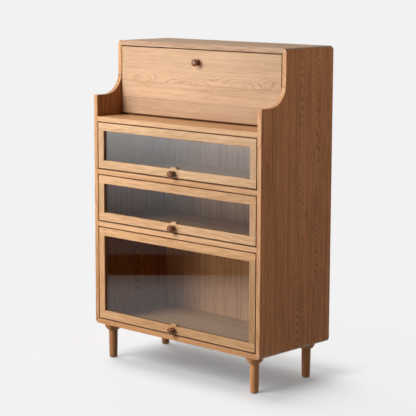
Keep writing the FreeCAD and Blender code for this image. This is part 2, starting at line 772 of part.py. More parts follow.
def catch_screws(allowance):
    """Two screws through the ears of a catch, or their holes."""
    screws = []
    middle = (CATCH_LENGTH + CATCH_BODY_LENGTH) / 4
    for x in both_ways(middle):
        place = Vector(x, CATCH_DEPTH / 2, CATCH_EAR_THICKNESS)
        shank = rod(
            place - UP * CATCH_SCREW_LENGTH, UP, CATCH_SCREW_DIAMETER + 2 * allowance, CATCH_SCREW_LENGTH
        )
        head = rod(place, UP, CATCH_SCREW_HEAD_DIAMETER, CATCH_SCREW_HEAD_HEIGHT)
        screws.append(shank.fuse(head).removeSplitter())
    return screws


def catch_places():
    """Face depth, board height and way up of each catch, by the board that carries it."""
    door_y = FRONT_Y + DOOR_THICKNESS + STRIKE_THICKNESS + STRIKE_GAP
    flap_y = UPPER_FRONT_Y + FLAP_THICKNESS + STRIKE_THICKNESS + STRIKE_GAP
    return {
        "bottom_panel": (door_y, LOWER_BAY_Z, 1),
        "lower_shelf": (door_y, MIDDLE_BAY_Z, 1),
        "upper_shelf": (door_y, UPPER_BAY_Z, 1),
        "top_panel": (flap_y, TOP_PANEL_Z, -1),
    }


def at_catch(solid, board):
    """Copy of a catch piece at the board that carries it."""
    face_y, board_z, way_up = catch_places()[board]
    copy = solid.copy() if way_up > 0 else solid.mirror(MIDDLE, UP)
    copy.translate(Vector(CATCH_OFFSET, face_y, board_z))
    return copy


def drilled_for_catch(solid, board):
    """A board with the screw holes of its catch."""
    return cut_all(solid, [at_catch(screw, board) for screw in catch_screws(FIT_CLEARANCE)])


def door(name, floor_z, clear_height):
    """Every piece of one lift-up glass door, by node name."""
    low = floor_z + REVEAL
    high = floor_z + clear_height - REVEAL
    knob_z = low + BOTTOM_RAIL / 2
    pieces = door_frame(name, low, high, knob_z)
    pins = pivot_pins(FRONT_Y + DOOR_PIVOT_BEHIND_FACE, high - DOOR_PIVOT_BELOW_TOP)
    rear = FRONT_Y + DOOR_THICKNESS
    pieces[name + "_door_glass"] = glass_pane(low, high)
    pieces[name + "_door_glazing_beads"] = group(glazing_beads(low, high))
    pieces[name + "_door_knob"] = knob(FRONT_Y, knob_z)
    pieces[name + "_door_knob_screw"] = knob_screw(FRONT_Y, knob_z, DOOR_THICKNESS)
    pieces[name + "_door_pivot_pins"] = group(pins)
    pieces[name + "_door_strike_plate"] = strike_plate(rear, floor_z + catch_magnet_middle())
    return pieces


def flap_panel():
    """Drop front with a rounded nose at its lower edge, which rolls over the counter."""
    depth = (UPPER_FRONT_Y, UPPER_FRONT_Y + FLAP_THICKNESS)
    panel = block(both_ways(DOOR_X), depth, (FLAP_Z, FLAP_TOP_Z))

    def on_front(point):
        return near(point.y, UPPER_FRONT_Y)

    nose = edges_where(panel, lambda point: on_front(point) and near(point.z, FLAP_Z))
    panel = panel.makeFillet(FLAP_NOSE_RADIUS, nose)
    top_edge = edges_where(panel, lambda point: on_front(point) and near(point.z, FLAP_TOP_Z))
    panel = panel.makeFillet(EDGE_ROUND, top_edge)
    holes = pivot_pin_holes(FLAP_PIVOT_Y, FLAP_PIVOT_Z)
    holes.append(knob_screw_hole(UPPER_FRONT_Y, FLAP_KNOB_Z, FLAP_THICKNESS))
    return panel.cut(holes)


def flap():
    """Every piece of the drop front, by node name."""
    strike_z = TOP_PANEL_Z - catch_magnet_middle()
    return {
        "flap_panel": flap_panel(),
        "flap_knob": knob(UPPER_FRONT_Y, FLAP_KNOB_Z),
        "flap_knob_screw": knob_screw(UPPER_FRONT_Y, FLAP_KNOB_Z, FLAP_THICKNESS),
        "flap_pivot_pins": group(pivot_pins(FLAP_PIVOT_Y, FLAP_PIVOT_Z)),
        "flap_strike_plate": strike_plate(UPPER_FRONT_Y + FLAP_THICKNESS, strike_z),
    }


def carcass():
    """Fixed boards, their joints, the legs and the catches, by node name."""
    right_side = side_panel()
    insert_holes = at_every_leg(leg_insert_blank(FIT_CLEARANCE))
    pieces = {
        "left_side_panel": mirrored(right_side),
        "right_side_panel": right_side,
        "top_panel": end_board(1, UPPER_FRONT_Y),
        "bottom_panel": end_board(-1, FRONT_Y).cut(insert_holes),
        "back_panel": back_panel(),
        "corner_splines": group(all_splines(0.0)),
        "shelf_dowels": group(dowels(0.0, 0.0)),
        "back_panel_screws": group(back_screws(0.0, 0.0)),
        "pivot_bushes": group(pivot_bushes()),
    }
    for name, shelf_z in SHELF_HEIGHTS.items():
        pieces[name] = shelf(shelf_z)
    housings = []
    magnets = []
    screws = []
    housing, magnet, screw_pair = catch_parts()
    for board in catch_places():
        pieces[board] = drilled_for_catch(pieces[board], board)
        housings.append(at_catch(housing, board))
        magnets.append(at_catch(magnet, board))
        screws.extend(at_catch(screw, board) for screw in screw_pair)
    pieces["catch_housings"] = group(housings)
    pieces["catch_magnets"] = group(magnets)
    pieces["catch_screws"] = group(screws)
    return pieces


def legs():
    """Legs with their bolts, inserts and pads, by node name."""
    turned_leg = leg()
    pieces = {name: placed(turned_leg, place) for name, place in leg_places().items()}
    pieces["leg_bolts"] = group(at_every_leg(leg_bolt()))
    pieces["leg_inserts"] = group(at_every_leg(leg_insert()))
    pieces["foot_pads"] = group(at_every_leg(foot_pad()))
    return pieces


def all_pieces():
    """The whole cabinet, by node name."""
    pieces = carcass()
    pieces.update(legs())
    for name, (floor_z, clear_height) in DOOR_BAYS.items():
        pieces.update(door(name, floor_z, clear_height))
    pieces.update(flap())
    return pieces


os.makedirs("parts", exist_ok=True)
for node, shape in all_pieces().items():
    shape.exportStep("parts/" + node + ".step")
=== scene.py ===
"""Looks of the stepped oak cabinet: its timber, glass and fittings, and the studio round it.

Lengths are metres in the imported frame: +X runs to the right, +Y towards the wall and +Z up.
"""

import logging
import math
import random
from dataclasses import dataclass, replace
from enum import Enum
from typing import Optional, Union

import bmesh
import bpy
from mathutils import Color, Matrix, Vector


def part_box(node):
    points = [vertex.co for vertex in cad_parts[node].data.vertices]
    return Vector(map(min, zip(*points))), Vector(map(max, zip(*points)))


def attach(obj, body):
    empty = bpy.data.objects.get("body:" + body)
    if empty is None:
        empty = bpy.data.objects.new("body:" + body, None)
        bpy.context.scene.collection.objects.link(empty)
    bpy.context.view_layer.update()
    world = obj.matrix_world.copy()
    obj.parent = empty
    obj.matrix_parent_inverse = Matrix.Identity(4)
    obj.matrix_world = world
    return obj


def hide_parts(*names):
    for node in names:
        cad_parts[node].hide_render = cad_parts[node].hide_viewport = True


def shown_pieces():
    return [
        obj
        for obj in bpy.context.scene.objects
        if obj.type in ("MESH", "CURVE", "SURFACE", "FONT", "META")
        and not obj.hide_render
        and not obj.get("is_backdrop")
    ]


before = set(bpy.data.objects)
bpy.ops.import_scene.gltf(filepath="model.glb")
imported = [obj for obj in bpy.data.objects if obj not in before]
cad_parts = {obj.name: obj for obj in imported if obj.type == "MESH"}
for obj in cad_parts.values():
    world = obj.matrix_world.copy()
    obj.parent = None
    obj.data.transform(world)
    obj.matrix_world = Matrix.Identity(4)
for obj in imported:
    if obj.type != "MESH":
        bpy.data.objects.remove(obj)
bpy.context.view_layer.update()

LOG = logging.getLogger("cabinet")

Colour = tuple[float, float, float, float]
Tint = tuple[float, float, float]
Place = tuple[float, float, float]
Range = tuple[float, float]
Box = tuple[Vector, Vector]
Form = bmesh.types.BMesh
Ring = list[bmesh.types.BMVert]

ORIGIN = (0.0, 0.0, 0.0)
WHITE = (1.0, 1.0, 1.0, 1.0)
FULL_BYTE = 255
CHANCE_MEAN = 0.5


class Axis(Enum):
    """An axis of the frame, by its place in a point."""

    X = 0
    Y = 1
    Z = 2


class Front(Enum):
    """A front that moves, by its body and the words that its node names start with."""

    UPPER = "upper_door"
    MIDDLE = "middle_door"
    LOWER = "lower_door"
    FLAP = "flap"


def srgb(red: int, green: int, blue: int) -> Colour:
    """Turns a colour as written on screen into the linear one that shaders take.

    Args:
        red: Red, from 0 to 255.
        green: Green, from 0 to 255.
        blue: Blue, from 0 to 255.

    Returns:
        The linear colour, with full alpha.
    """
    written = Color([value / FULL_BYTE for value in (red, green, blue)])
    return (*written.from_srgb_to_scene_linear(), 1.0)


def darker(colour: Colour, share: float) -> Colour:
    """A colour with only a share of its light."""
    return (*(share * part for part in colour[:3]), 1.0)


class Shader(Enum):
    """A kind of surface or light, by Blender's name for its node."""

    SOLID = "ShaderNodeBsdfPrincipled"
    MATT = "ShaderNodeBsdfDiffuse"
    MIRROR = "ShaderNodeBsdfGlossy"
    CLEAR = "ShaderNodeBsdfTransparent"
    GLOW = "ShaderNodeEmission"
    BACKDROP = "ShaderNodeBackground"


class Wiring:
    """The node tree of a material or of the room, with a short call for each kind of node in it."""

    def __init__(self, holder: Union[bpy.types.Material, bpy.types.World]) -> None:
        """Empties the tree, all but its output.

        Args:
            holder: The material or the world.
        """
        holder.use_nodes = True
        self.holder = holder
        self.tree = holder.node_tree
        self.tree.nodes.clear()
        room = isinstance(holder, bpy.types.World)
        self.output = self.add("ShaderNodeOutputWorld" if room else "ShaderNodeOutputMaterial")

    def add(self, kind: str, **settings: object) -> bpy.types.Node:
        """Adds a node.

        Args:
            kind: Blender's name for the kind of node.
            **settings: Properties of the node to set.

        Returns:
            The new node.
        """
        node = self.tree.nodes.new(kind)
        for key, value in settings.items():
            setattr(node, key, value)
        return node

    def feed(self, socket: bpy.types.NodeSocket, value: object) -> None:
        """Joins an input to a signal or another socket, or sets it to a plain value.

        Args:
            socket: The input.
            value: A signal, a socket, or what the input is to hold.
        """
        if isinstance(value, Signal):
            value = value.socket
        if isinstance(value, bpy.types.NodeSocket):
            self.tree.links.new(value, socket)
        else:
            socket.default_value = value

    def math(self, operation: str, *values: "Number") -> "Signal":
        """Works out a number at every point.

        Args:
            operation: Blender's name for the operation.
            *values: What it works on.

        Returns:
            The result.
        """
        node = self.add("ShaderNodeMath", operation=operation)
        for socket, value in zip(node.inputs, values):
            self.feed(socket, value)
        return Signal(self, node.outputs[0])

    def place(self, kind: str = "Object") -> list["Signal"]:
        """Three coordinates, which stay with a piece as it moves.

        Args:
            kind: Blender's name for them: a point, a normal, or a direction into the room.

        Returns:
            The x, the y and the z.
        """
        return self.split(self.add("ShaderNodeTexCoord").outputs[kind])

    def split(self, joined: bpy.types.NodeSocket) -> list["Signal"]:
        """Takes three joined numbers apart.

        Args:
            joined: The socket that carries them.

        Returns:
            The three numbers.
        """
        node = self.add("ShaderNodeSeparateXYZ")
        self.feed(node.inputs[0], joined)
        return [Signal(self, socket) for socket in node.outputs]

    def facing(self, axis: Axis) -> "Signal":
        """How squarely the surface faces along an axis, from 0 to 1."""
        return self.math("ABSOLUTE", self.place("Normal")[axis.value])

    def noise(self, point: tuple["Number", ...], detail: float) -> "Signal":
        """Smooth chance that varies from place to place.

        Args:
            point: Three coordinates, stretched as the pattern needs.
            detail: How many finer layers it has.

        Returns:
            A number about one half.
        """
        joined = self.add("ShaderNodeCombineXYZ")
        for socket, value in zip(joined.inputs, point):
            self.feed(socket, value)
        node = self.add("ShaderNodeTexNoise")
        self.feed(node.inputs["Vector"], joined.outputs[0])
        node.inputs["Scale"].default_value = 1.0
        node.inputs["Detail"].default_value = detail
        return Signal(self, node.outputs["Fac"])

    def chances(self, key: "Number") -> list["Signal"]:
        """Three unrelated numbers from 0 to 1 that stay the same wherever the key does.

        Args:
            key: The number that they follow.

        Returns:
            The three numbers.
        """
        node = self.add("ShaderNodeTexWhiteNoise", noise_dimensions="1D")
        self.feed(node.inputs["W"], key)
        return self.split(node.outputs["Color"])

    def mix(self, share: "Signal", first: object, second: object) -> bpy.types.NodeSocket:
        """Blends two colours.

        Args:
            share: How much of the second colour, from 0 to 1.
            first: Colour, or the socket of one.
            second: Colour, or the socket of one.

        Returns:
            The socket of the blend.
        """
        node = self.add("ShaderNodeMix", data_type="RGBA")
        colours = [socket for socket in node.inputs if socket.type == "RGBA"]
        self.feed(node.inputs["Factor"], share)
        self.feed(colours[0], first)
        self.feed(colours[1], second)
        return [socket for socket in node.outputs if socket.type == "RGBA"][0]

    def bump(self, height: "Signal", depth: float, strength: float) -> bpy.types.NodeSocket:
        """Unevenness of a surface.

        Args:
            height: How high each point lies, from 0 to 1.
            depth: How far apart the lowest and the highest lie.
            strength: How much of it shows.

        Returns:
            The socket of the bent normal.
        """
        node = self.add("ShaderNodeBump")
        node.inputs["Strength"].default_value = strength
        node.inputs["Distance"].default_value = depth
        self.feed(node.inputs["Height"], height)
        return node.outputs["Normal"]

    def shader(self, kind: Shader, **inputs: object) -> bpy.types.Node:
        """Adds a surface or a light.

        Args:
            kind: Which one.
            **inputs: What its inputs hold, with _ for a space in their names.

        Returns:
            Its node.
        """
        node = self.add(kind.value)
        for name, value in inputs.items():
            self.feed(node.inputs[name.replace("_", " ")], value)
        return node

    def blend(self, share: "Signal", first: bpy.types.Node, second: bpy.types.Node) -> bpy.types.Node:
        """Blends two surfaces.

        Args:
            share: How much of the second one, from 0 to 1.
            first: Node of one surface.
            second: Node of the other.

        Returns:
            The node of the blend.
        """
        node = self.add("ShaderNodeMixShader")
        self.feed(node.inputs[0], share)
        self.feed(node.inputs[1], first.outputs[0])
        self.feed(node.inputs[2], second.outputs[0])
        return node

    def sum(self, first: bpy.types.Node, second: bpy.types.Node) -> bpy.types.Node:
        """Adds the light of two surfaces.

        Args:
            first: Node of one surface.
            second: Node of the other.

        Returns:
            The node of the sum.
        """
        node = self.add("ShaderNodeAddShader")
        self.feed(node.inputs[0], first.outputs[0])
        self.feed(node.inputs[1], second.outputs[0])
        return node

    def by_ray(
        self, thrown: bpy.types.Node, seen: bpy.types.Node, mirrored: bpy.types.Node
    ) -> bpy.types.Node:
        """Picks a surface by what meets it.

        Args:
            thrown: Node of the surface that lights other things.
            seen: Node of the one that the eye sees, through glass too.
            mirrored: Node of the one that glass and polish mirror.

        Returns:
            The node of all three.
        """
        rays = self.add("ShaderNodeLightPath").outputs
        kinds = ("Is Camera Ray", "Is Transmission Ray", "Is Glossy Ray")
        eye, through, polish = [Signal(self, rays[kind]) for kind in kinds]
        direct = self.blend(self.math("MAXIMUM", eye, through), thrown, seen)
        return self.blend(polish, direct, mirrored)

    def show(self, node: bpy.types.Node) -> None:
        """Makes a surface the one that shows."""
        self.feed(self.output.inputs["Surface"], node.outputs[0])


@dataclass(frozen=True)
class Signal:
    """A number that varies over a surface, which sums and products can be written with.

    Attributes:
        wiring: The material that it belongs to.
        socket: The node output that carries it.
    """

    wiring: Wiring
    socket: bpy.types.NodeSocket

    def __add__(self, other: "Number") -> "Signal":
        """The sum with another number."""
        return self.wiring.math("ADD", self, other)

    def __sub__(self, other: "Number") -> "Signal":
        """The difference from another number."""
        return self.wiring.math("SUBTRACT", self, other)

    def __mul__(self, other: "Number") -> "Signal":
        """The product with another number."""
        return self.wiring.math("MULTIPLY", self, other)

    def __pow__(self, other: "Number") -> "Signal":
        """The power, for numbers that aren't negative."""
        return self.wiring.math("POWER", self, other)

    def rest(self) -> "Signal":
        """What is left of 1 without it."""
        return self * -1.0 + 1.0

    def above(self, limit: float) -> "Signal":
        """1 where the number is over a limit, and 0 elsewhere."""
        return self.wiring.math("GREATER_THAN", self, limit)

    def fraction(self) -> "Signal":
        """What is left over a whole number."""
        return self.wiring.math("FRACT", self)

    def between(self, low: float, high: float) -> "Signal":
        """Turns the number into a smooth step.

        Args:
            low: Value up to which the step is 0.
            high: Value from which it is 1.

        Returns:
            The step.
        """
        node = self.wiring.add("ShaderNodeMapRange", interpolation_type="SMOOTHSTEP")
        self.wiring.feed(node.inputs["Value"], self)
        node.inputs["From Min"].default_value = low
        node.inputs["From Max"].default_value = high
        return Signal(self.wiring, node.outputs["Result"])


Number = Union[Signal, float]


@dataclass(frozen=True)
class Timber:
    """One batch of wood, oiled and rubbed down.

    Attributes:
        pale: Colour between the rings.
        deep: Colour of the porous lines that start each ring.
        ring: Width of a year's growth.
        roughness: How matt the surface is.
        polish: How much it mirrors.
        lacquer: How much of it a clear coat covers.
        pores: How strongly the open pores show.
    """

    pale: Colour
    deep: Colour
    ring: float = 0.0065
    roughness: float = 0.46
    polish: float = 0.2
    lacquer: float = 0.0
    pores: float = 0.35

    def colour(self, wiring: Wiring, share: Signal) -> bpy.types.NodeSocket:
        """Its colour in a material, with some share of the deep one."""
        return wiring.mix(share, self.pale, self.deep)


FLAP_OAK = Timber(srgb(232, 196, 161), srgb(172, 127, 92), ring=0.005)
# Painted sheen: the top is paler and greyer than the oak's own colour, for the pale room that it mirrors
TOP_OAK_WITH_PAINTED_SHEEN = Timber(srgb(244, 212, 180), srgb(196, 154, 120), roughness=0.6)
TOP_EDGE_OAK = Timber(srgb(216, 182, 155), srgb(168, 127, 98))
UPPER_DOOR_OAK = Timber(srgb(240, 202, 161), srgb(186, 139, 97))
MIDDLE_DOOR_OAK = Timber(srgb(240, 198, 155), srgb(186, 136, 94))
LOWER_DOOR_OAK = Timber(srgb(240, 194, 147), srgb(186, 133, 88))
SIDE_OAK = Timber(srgb(240, 168, 112), srgb(150, 86, 46))
# Painted shade: darker oak for the inner halves of the side panels, for the shade inside the cabinet
PAINTED_SHADE_INSIDE_OAK = Timber(srgb(177, 121, 72), srgb(116, 68, 34))
LEFT_EDGE_OAK = Timber(srgb(229, 178, 131), srgb(172, 119, 77))
RIGHT_EDGE_OAK = Timber(srgb(245, 194, 148), srgb(202, 145, 99))
COUNTER_OAK = Timber(srgb(236, 189, 143), srgb(188, 134, 88))
SHELF_OAK = Timber(srgb(220, 178, 141), srgb(170, 124, 88))
COUNTER_EDGE_OAK = Timber(srgb(238, 195, 153), srgb(201, 151, 109))
UPPER_EDGE_OAK = Timber(srgb(230, 183, 138), srgb(194, 141, 97))
LOWER_EDGE_OAK = Timber(srgb(248, 200, 155), srgb(209, 155, 109))
BASE_EDGE_OAK = Timber(srgb(232, 178, 129), srgb(200, 137, 88))
BACK_OAK = Timber(srgb(238, 187, 146), srgb(180, 127, 90), ring=0.004)
LEG_OAK = Timber(srgb(224, 164, 114), srgb(172, 112, 68))
# Painted shade: dark oak for the edges of door frames and the flap, for the shade in the gaps round them
PAINTED_SHADE_EDGE_OAK = Timber(srgb(172, 118, 76), srgb(126, 78, 46))
# Painted shade: near-black oak for the flanks and the lowest rim of each bottom rail
PAINTED_SHADE_LOW_RIM_OAK = Timber(srgb(94, 44, 14), srgb(66, 28, 7))
WALNUT = Timber(
    srgb(150, 90, 38), srgb(88, 48, 17), ring=0.0022, roughness=0.35, polish=0.1, lacquer=0.7, pores=0.1
)
BEECH = Timber(srgb(222, 184, 148), srgb(196, 150, 112), ring=0.0018, pores=0.12)


@dataclass(frozen=True)
class Spots:
    """Chance marks in wood, drawn out along the grain.

    Attributes:
        along: How often they change in a metre along the grain.
        across: How often they do so across it.
        detail: How many finer layers they have.
    """

    along: float
    across: float
    detail: float


# Marks that all the wood has, from the broadest to the finest
CLOUDS = Spots(along=3.0, across=12.0, detail=3.0)
PATCHES = Spots(along=5.0, across=14.0, detail=1.0)
RIPPLES = Spots(along=20.0, across=26.0, detail=2.0)
STREAKS = Spots(along=2.5, across=75.0, detail=4.0)
FLECKS = Spots(along=16.0, across=190.0, detail=2.0)
FIBRES = Spots(along=18.0, across=900.0, detail=3.0)
PORES = Spots(along=60.0, across=1500.0, detail=1.0)
WANDER_DETAIL = 1.0

# How far apart logs are cut, how evenly they grow, and where pores and patches of strong rings lie
LOG_SHIFT = 9.0
PACE_LEAST = 0.75
PACE_SPREAD = 0.5
POROUS_MEAN = 0.33
PORE_RANGE = (0.56, 0.7)
PATCH_RANGE = (0.35, 0.65)
PATCH_LEAST = 0.2

# How much glue lines and clouds add to the deep colour, and how much of it plain wood has
GLUE_LINE = 0.0005
GLUE_SHADE = 0.5
CLOUD_SHADE = 0.5
PLAIN_SHADE = 0.35
SHADE_RANGE = (-0.1, 1.1)

# From how square on a face counts as broad or as a flank, and how high the painted shade along the lowest
# rim of a rail reaches
BROAD_RANGE = (0.6, 0.9)
FLANK_RANGE = (0.3, 0.6)
SHADED_FOOT_RIM = 0.0025
SHADED_FOOT_SHARE = 0.95

# How the rubbed surface feels
FIBRE_HEIGHT = 0.3
POROUS_HEIGHT = 0.2
GRAIN_DEPTH = 0.0003
GRAIN_STRENGTH = 0.25
POROUS_ROUGHNESS = 0.12
FIBRE_ROUGHNESS = 0.2
LACQUER_ROUGHNESS = 0.08


class Rims(Enum):
    """Which narrow faces of a piece differ from its broad ones."""

    EDGES = "all of them"
    # Painted shade: the flanks across the grain and the lowest rim take the dark colour
    PAINTED_SHADE_FLANKS = "those across the grain, and the lowest of the others"


@dataclass(frozen=True)
class Stave:
    """One of the boards that are glued edge to edge into a panel.

    Attributes:
        end: Where it ends across the width, or None for the last one.
        tone: How light it is: its own tone, and on legs and door frames also painted light and shade.
        lean: How far the middle of its log lies below its own middle, across the width.
        taper: How fast its log thins, which draws the rings out into arches or along a slant.
        wild: How much its rings wander.
    """

    end: Optional[float] = None
    tone: float = 1.0
    lean: float = 0.12
    taper: float = 0.015
    wild: float = 1.0


@dataclass(frozen=True)
class WoodFinish:
    """Wood of one piece, cut from logs whose rings run through the whole of its thickness.

    Attributes:
        timber: The batch of wood.
        along: Axis that the fibres run along.
        across: Axis across the width of the piece.
        seed: Number that makes this piece's grain its own.
        staves: The boards that it is glued up from, from the lowest place to the highest.
        edge_timber_and_shade: The batch of wood that its narrow edges show, painted shade on door frames and
            the flap.
        rims: Which of them do.
        inside: The batch of wood that it shows to the middle of the cabinet, darker as painted shade.
        heart: How far behind the face the middle of the log lies.
        waviness: How far the rings wander.
        wander: How often they do so in a metre along the grain, and across it.
        ripple: How far they waver over a hand's width.
        figure: How strongly the rings show.
        streaks: How strongly streaks along the grain show.
        flecks: How strongly shorter ones show.
    """

    timber: Timber
    along: Axis
    across: Axis
    seed: int
    staves: tuple[Stave, ...] = (Stave(),)
    edge_timber_and_shade: Optional[Timber] = None
    rims: Rims = Rims.EDGES
    inside: Optional[Timber] = None
    heart: float = 0.04
    waviness: float = 0.016
    wander: Range = (2.5, 6.0)
    ripple: float = 0.004
    figure: float = 0.3
    streaks: float = 1.1
    flecks: float = 0.8

    def through(self) -> Axis:
        """Axis through the thickness of the piece."""
        return next(axis for axis in Axis if axis not in (self.along, self.across))

    def material(self, name: str) -> bpy.types.Material:
        """Makes the material of a CAD piece.

        Args:
            name: Name of its node.

        Returns:
            The material.
        """
        wiring = Wiring(bpy.data.materials.new(name + "_wood"))
        grain = Grain(wiring, name, self)
        porous = grain.porous()
        pores = grain.spots(PORES).between(*PORE_RANGE) * porous * self.timber.pores
        fibre = grain.spots(FIBRES)
        # Each stave's lightness: its own tone, and on legs and door frames painted light and shade
        hue = wiring.add("ShaderNodeHueSaturation")
        wiring.feed(hue.inputs["Value"], grain.by_stave([stave.tone for stave in self.staves]))
        wiring.feed(hue.inputs["Color"], grain.colour(grain.shade(porous, pores)))
        height = pores * -1.0 + fibre * FIBRE_HEIGHT - porous * POROUS_HEIGHT
        dullness = porous * POROUS_ROUGHNESS + (fibre - CHANCE_MEAN) * FIBRE_ROUGHNESS
        wiring.show(wiring.shader(
            Shader.SOLID,
            Base_Color=hue.outputs["Color"],
            Roughness=dullness + self.timber.roughness,
            Specular_IOR_Level=self.timber.polish,
            Coat_Weight=self.timber.lacquer,
            Coat_Roughness=LACQUER_ROUGHNESS,
            Normal=wiring.bump(height, GRAIN_DEPTH, GRAIN_STRENGTH),
        ))
        return wiring.holder


class Grain:
    """Rings, marks and colour of one piece of wood, as they lie in the logs of its staves."""

    def __init__(self, wiring: Wiring, name: str, finish: WoodFinish) -> None:
        """Finds where each point lies in its log, and how fast each log grew.

        Args:
            wiring: The material of the piece.
            name: Name of its node.
            finish: How it is cut.
        """
        low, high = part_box(name)
        across = finish.across.value
        through = finish.through().value
        place = wiring.place()
        self.wiring = wiring
        self.finish = finish
        self.joints = [stave.end for stave in finish.staves[:-1]]
        self.foot = low[across]
        self.middle = (low[through] + high[through]) / 2
        self.width = place[across]
        self.thickness = place[through]
        self.depth = self.thickness - self.middle
        ends = [low[across], *self.joints, high[across]]
        offsets = [stave.lean - sum(pair) / 2 for stave, pair in zip(finish.staves, zip(ends, ends[1:]))]
        seeds = [float(finish.seed + step) for step in range(len(finish.staves))]
        shift, _, self.pace = wiring.chances(self.by_stave(seeds))
        self.run = place[finish.along.value] + shift * LOG_SHIFT
        self.side = self.width + self.by_stave(offsets)

    def by_stave(self, values: list[float]) -> Number:
        """A number that differs from stave to stave.

        Args:
            values: The number of each stave.

        Returns:
            The number of the stave at each place.
        """
        total: Number = values[0]
        for joint, value, later in zip(self.joints, values, values[1:]):
            total = self.width.above(joint) * (later - value) + total
        return total

    def spots(self, kind: Spots) -> Signal:
        """Marks of a kind, as a number about one half."""
        point = (self.run * kind.along, self.side * kind.across, self.depth * kind.across)
        return self.wiring.noise(point, kind.detail)

    def sway(self, kind: Spots) -> Signal:
        """Marks of a kind, as a number about 0."""
        return self.spots(kind) - CHANCE_MEAN

    def porous(self) -> Signal:
        """Finds the rings: how porous the wood is, most where a year's growth starts.

        Returns:
            A number from 0 to 1.
        """
        finish = self.finish
        reach = (self.side * self.side + (self.depth + finish.heart) ** 2.0) ** 0.5
        thinning = self.run * self.by_stave([stave.taper for stave in finish.staves])
        wildness = self.by_stave([stave.wild * finish.waviness for stave in finish.staves])
        wave = self.sway(Spots(*finish.wander, WANDER_DETAIL)) * wildness
        rings = reach + thinning + wave + self.sway(RIPPLES) * finish.ripple
        year = (rings * (self.pace * PACE_SPREAD + PACE_LEAST) * (1 / finish.timber.ring)).fraction()
        return year.rest() ** 2.0

    def shade(self, porous: Signal, pores: Signal) -> Signal:
        """Works out how much of the deep colour shows.

        Args:
            porous: How porous the wood is.
            pores: How much its open pores show.

        Returns:
            A share from 0 to 1.
        """
        seam: Number = 0.0
        for joint in self.joints:
            seam = self.wiring.math("COMPARE", self.width, joint, GLUE_LINE) + seam
        patch = self.spots(PATCHES).between(*PATCH_RANGE) * (1.0 - PATCH_LEAST) + PATCH_LEAST
        lines = (porous - POROUS_MEAN) * patch * self.finish.figure + pores + seam * GLUE_SHADE
        drift = self.sway(STREAKS) * self.finish.streaks + self.sway(FLECKS) * self.finish.flecks
        return (lines + drift + self.sway(CLOUDS) * CLOUD_SHADE + PLAIN_SHADE).between(*SHADE_RANGE)

    def colour(self, share: Signal) -> bpy.types.NodeSocket:
        """Works out the colour, with painted shade on any inner face and on door-frame and flap edges, and
        other edges that differ.

        Args:
            share: How much of the deep colour shows.

        Returns:
            The socket of the colour.
        """
        finish = self.finish
        colour = finish.timber.colour(self.wiring, share)
        # Painted shade: the inner half of the panel takes the darker inside colour
        if finish.inside:
            outer = self.wiring.math("ABSOLUTE", self.thickness).above(abs(self.middle))
            colour = self.wiring.mix(outer, finish.inside.colour(self.wiring, share), colour)
        # Narrow edges: painted shade on door frames and the flap, a colour of their own on the boards
        if finish.edge_timber_and_shade:
            colour = self.wiring.mix(self.rim(), colour, finish.edge_timber_and_shade.colour(self.wiring, share))
        return colour

    def rim(self) -> Signal:
        """Finds the narrow edges that take the edge colour, which on door frames and the flap is painted
        shade.

        Returns:
            1 on them, and 0 elsewhere.
        """
        if self.finish.rims is Rims.EDGES:
            return self.wiring.facing(self.finish.through()).between(*BROAD_RANGE).rest()
        # Painted shade along the lowest rim of a rail and on its flanks across the grain, such as the knob
        # lobe's sides
        foot = self.width.above(self.foot + SHADED_FOOT_RIM) * -SHADED_FOOT_SHARE + SHADED_FOOT_SHARE
        flanks = self.wiring.facing(self.finish.along).between(*FLANK_RANGE)
        return self.wiring.math("MAXIMUM", flanks, foot)


@dataclass(frozen=True)
class Texture:
    """Fine chance marks all over a piece.

    Attributes:
        often: How often they change in a metre along x, y and z.
        detail: How many finer layers they have.
        limits: From which chance on a mark starts and from which it is full, or None for soft marks.
    """

    often: Place
    detail: float
    limits: Optional[Range] = None

    def marks(self, wiring: Wiring) -> Signal:
        """Wires the marks.

        Args:
            wiring: The material of the piece.

        Returns:
            How strong they are, from 0 to 1.
        """
        point = tuple(axis * rate for axis, rate in zip(wiring.place(), self.often))
        marks = wiring.noise(point, self.detail)
        return marks.between(*self.limits) if self.limits else marks


BRUSHING = Texture((2500.0, 300.0, 2500.0), detail=2.0)
STAINS = Texture((90.0, 90.0, 90.0), detail=3.0, limits=(0.35, 0.75))
MOULD_GRAIN = Texture((1800.0, 1800.0, 1800.0), detail=2.0)
WOOL_HAIRS = Texture((1400.0, 1400.0, 1400.0), detail=4.0)
SMEARS = Texture((9.0, 9.0, 9.0), detail=3.0)


@dataclass(frozen=True)
class GlassFinish:
    """Clear float glass, thin enough that it doesn't bend what is behind it.

    Attributes:
        tint: What it lets through.
        head_on: Share that each face mirrors head on.
        rise: How late that share rises towards a grazing look.
        smear_roughness: How much faint smears dull its faces.
    """

    tint: Colour = srgb(247, 250, 249)
    head_on: float = 0.045
    rise: float = 5.0
    smear_roughness: float = 0.02

    def material(self, name: str) -> bpy.types.Material:
        """Makes the material of a pane.

        Args:
            name: Name of the pane.

        Returns:
            The material.
        """
        wiring = Wiring(bpy.data.materials.new(name + "_clear"))
        slant = Signal(wiring, wiring.add("ShaderNodeLayerWeight").outputs["Facing"]) ** self.rise
        clear = wiring.shader(Shader.CLEAR, Color=self.tint)
        mirror = wiring.shader(Shader.MIRROR, Roughness=SMEARS.marks(wiring) * self.smear_roughness)
        wiring.show(wiring.blend(slant * (1.0 - self.head_on) + self.head_on, clear, mirror))
        return wiring.holder


class Stuff(Enum):
    """What a fitting is made of, by the word that the names of its materials end with."""

    METAL = "metal"
    PLASTIC = "moulded"
    WOOL = "felt"


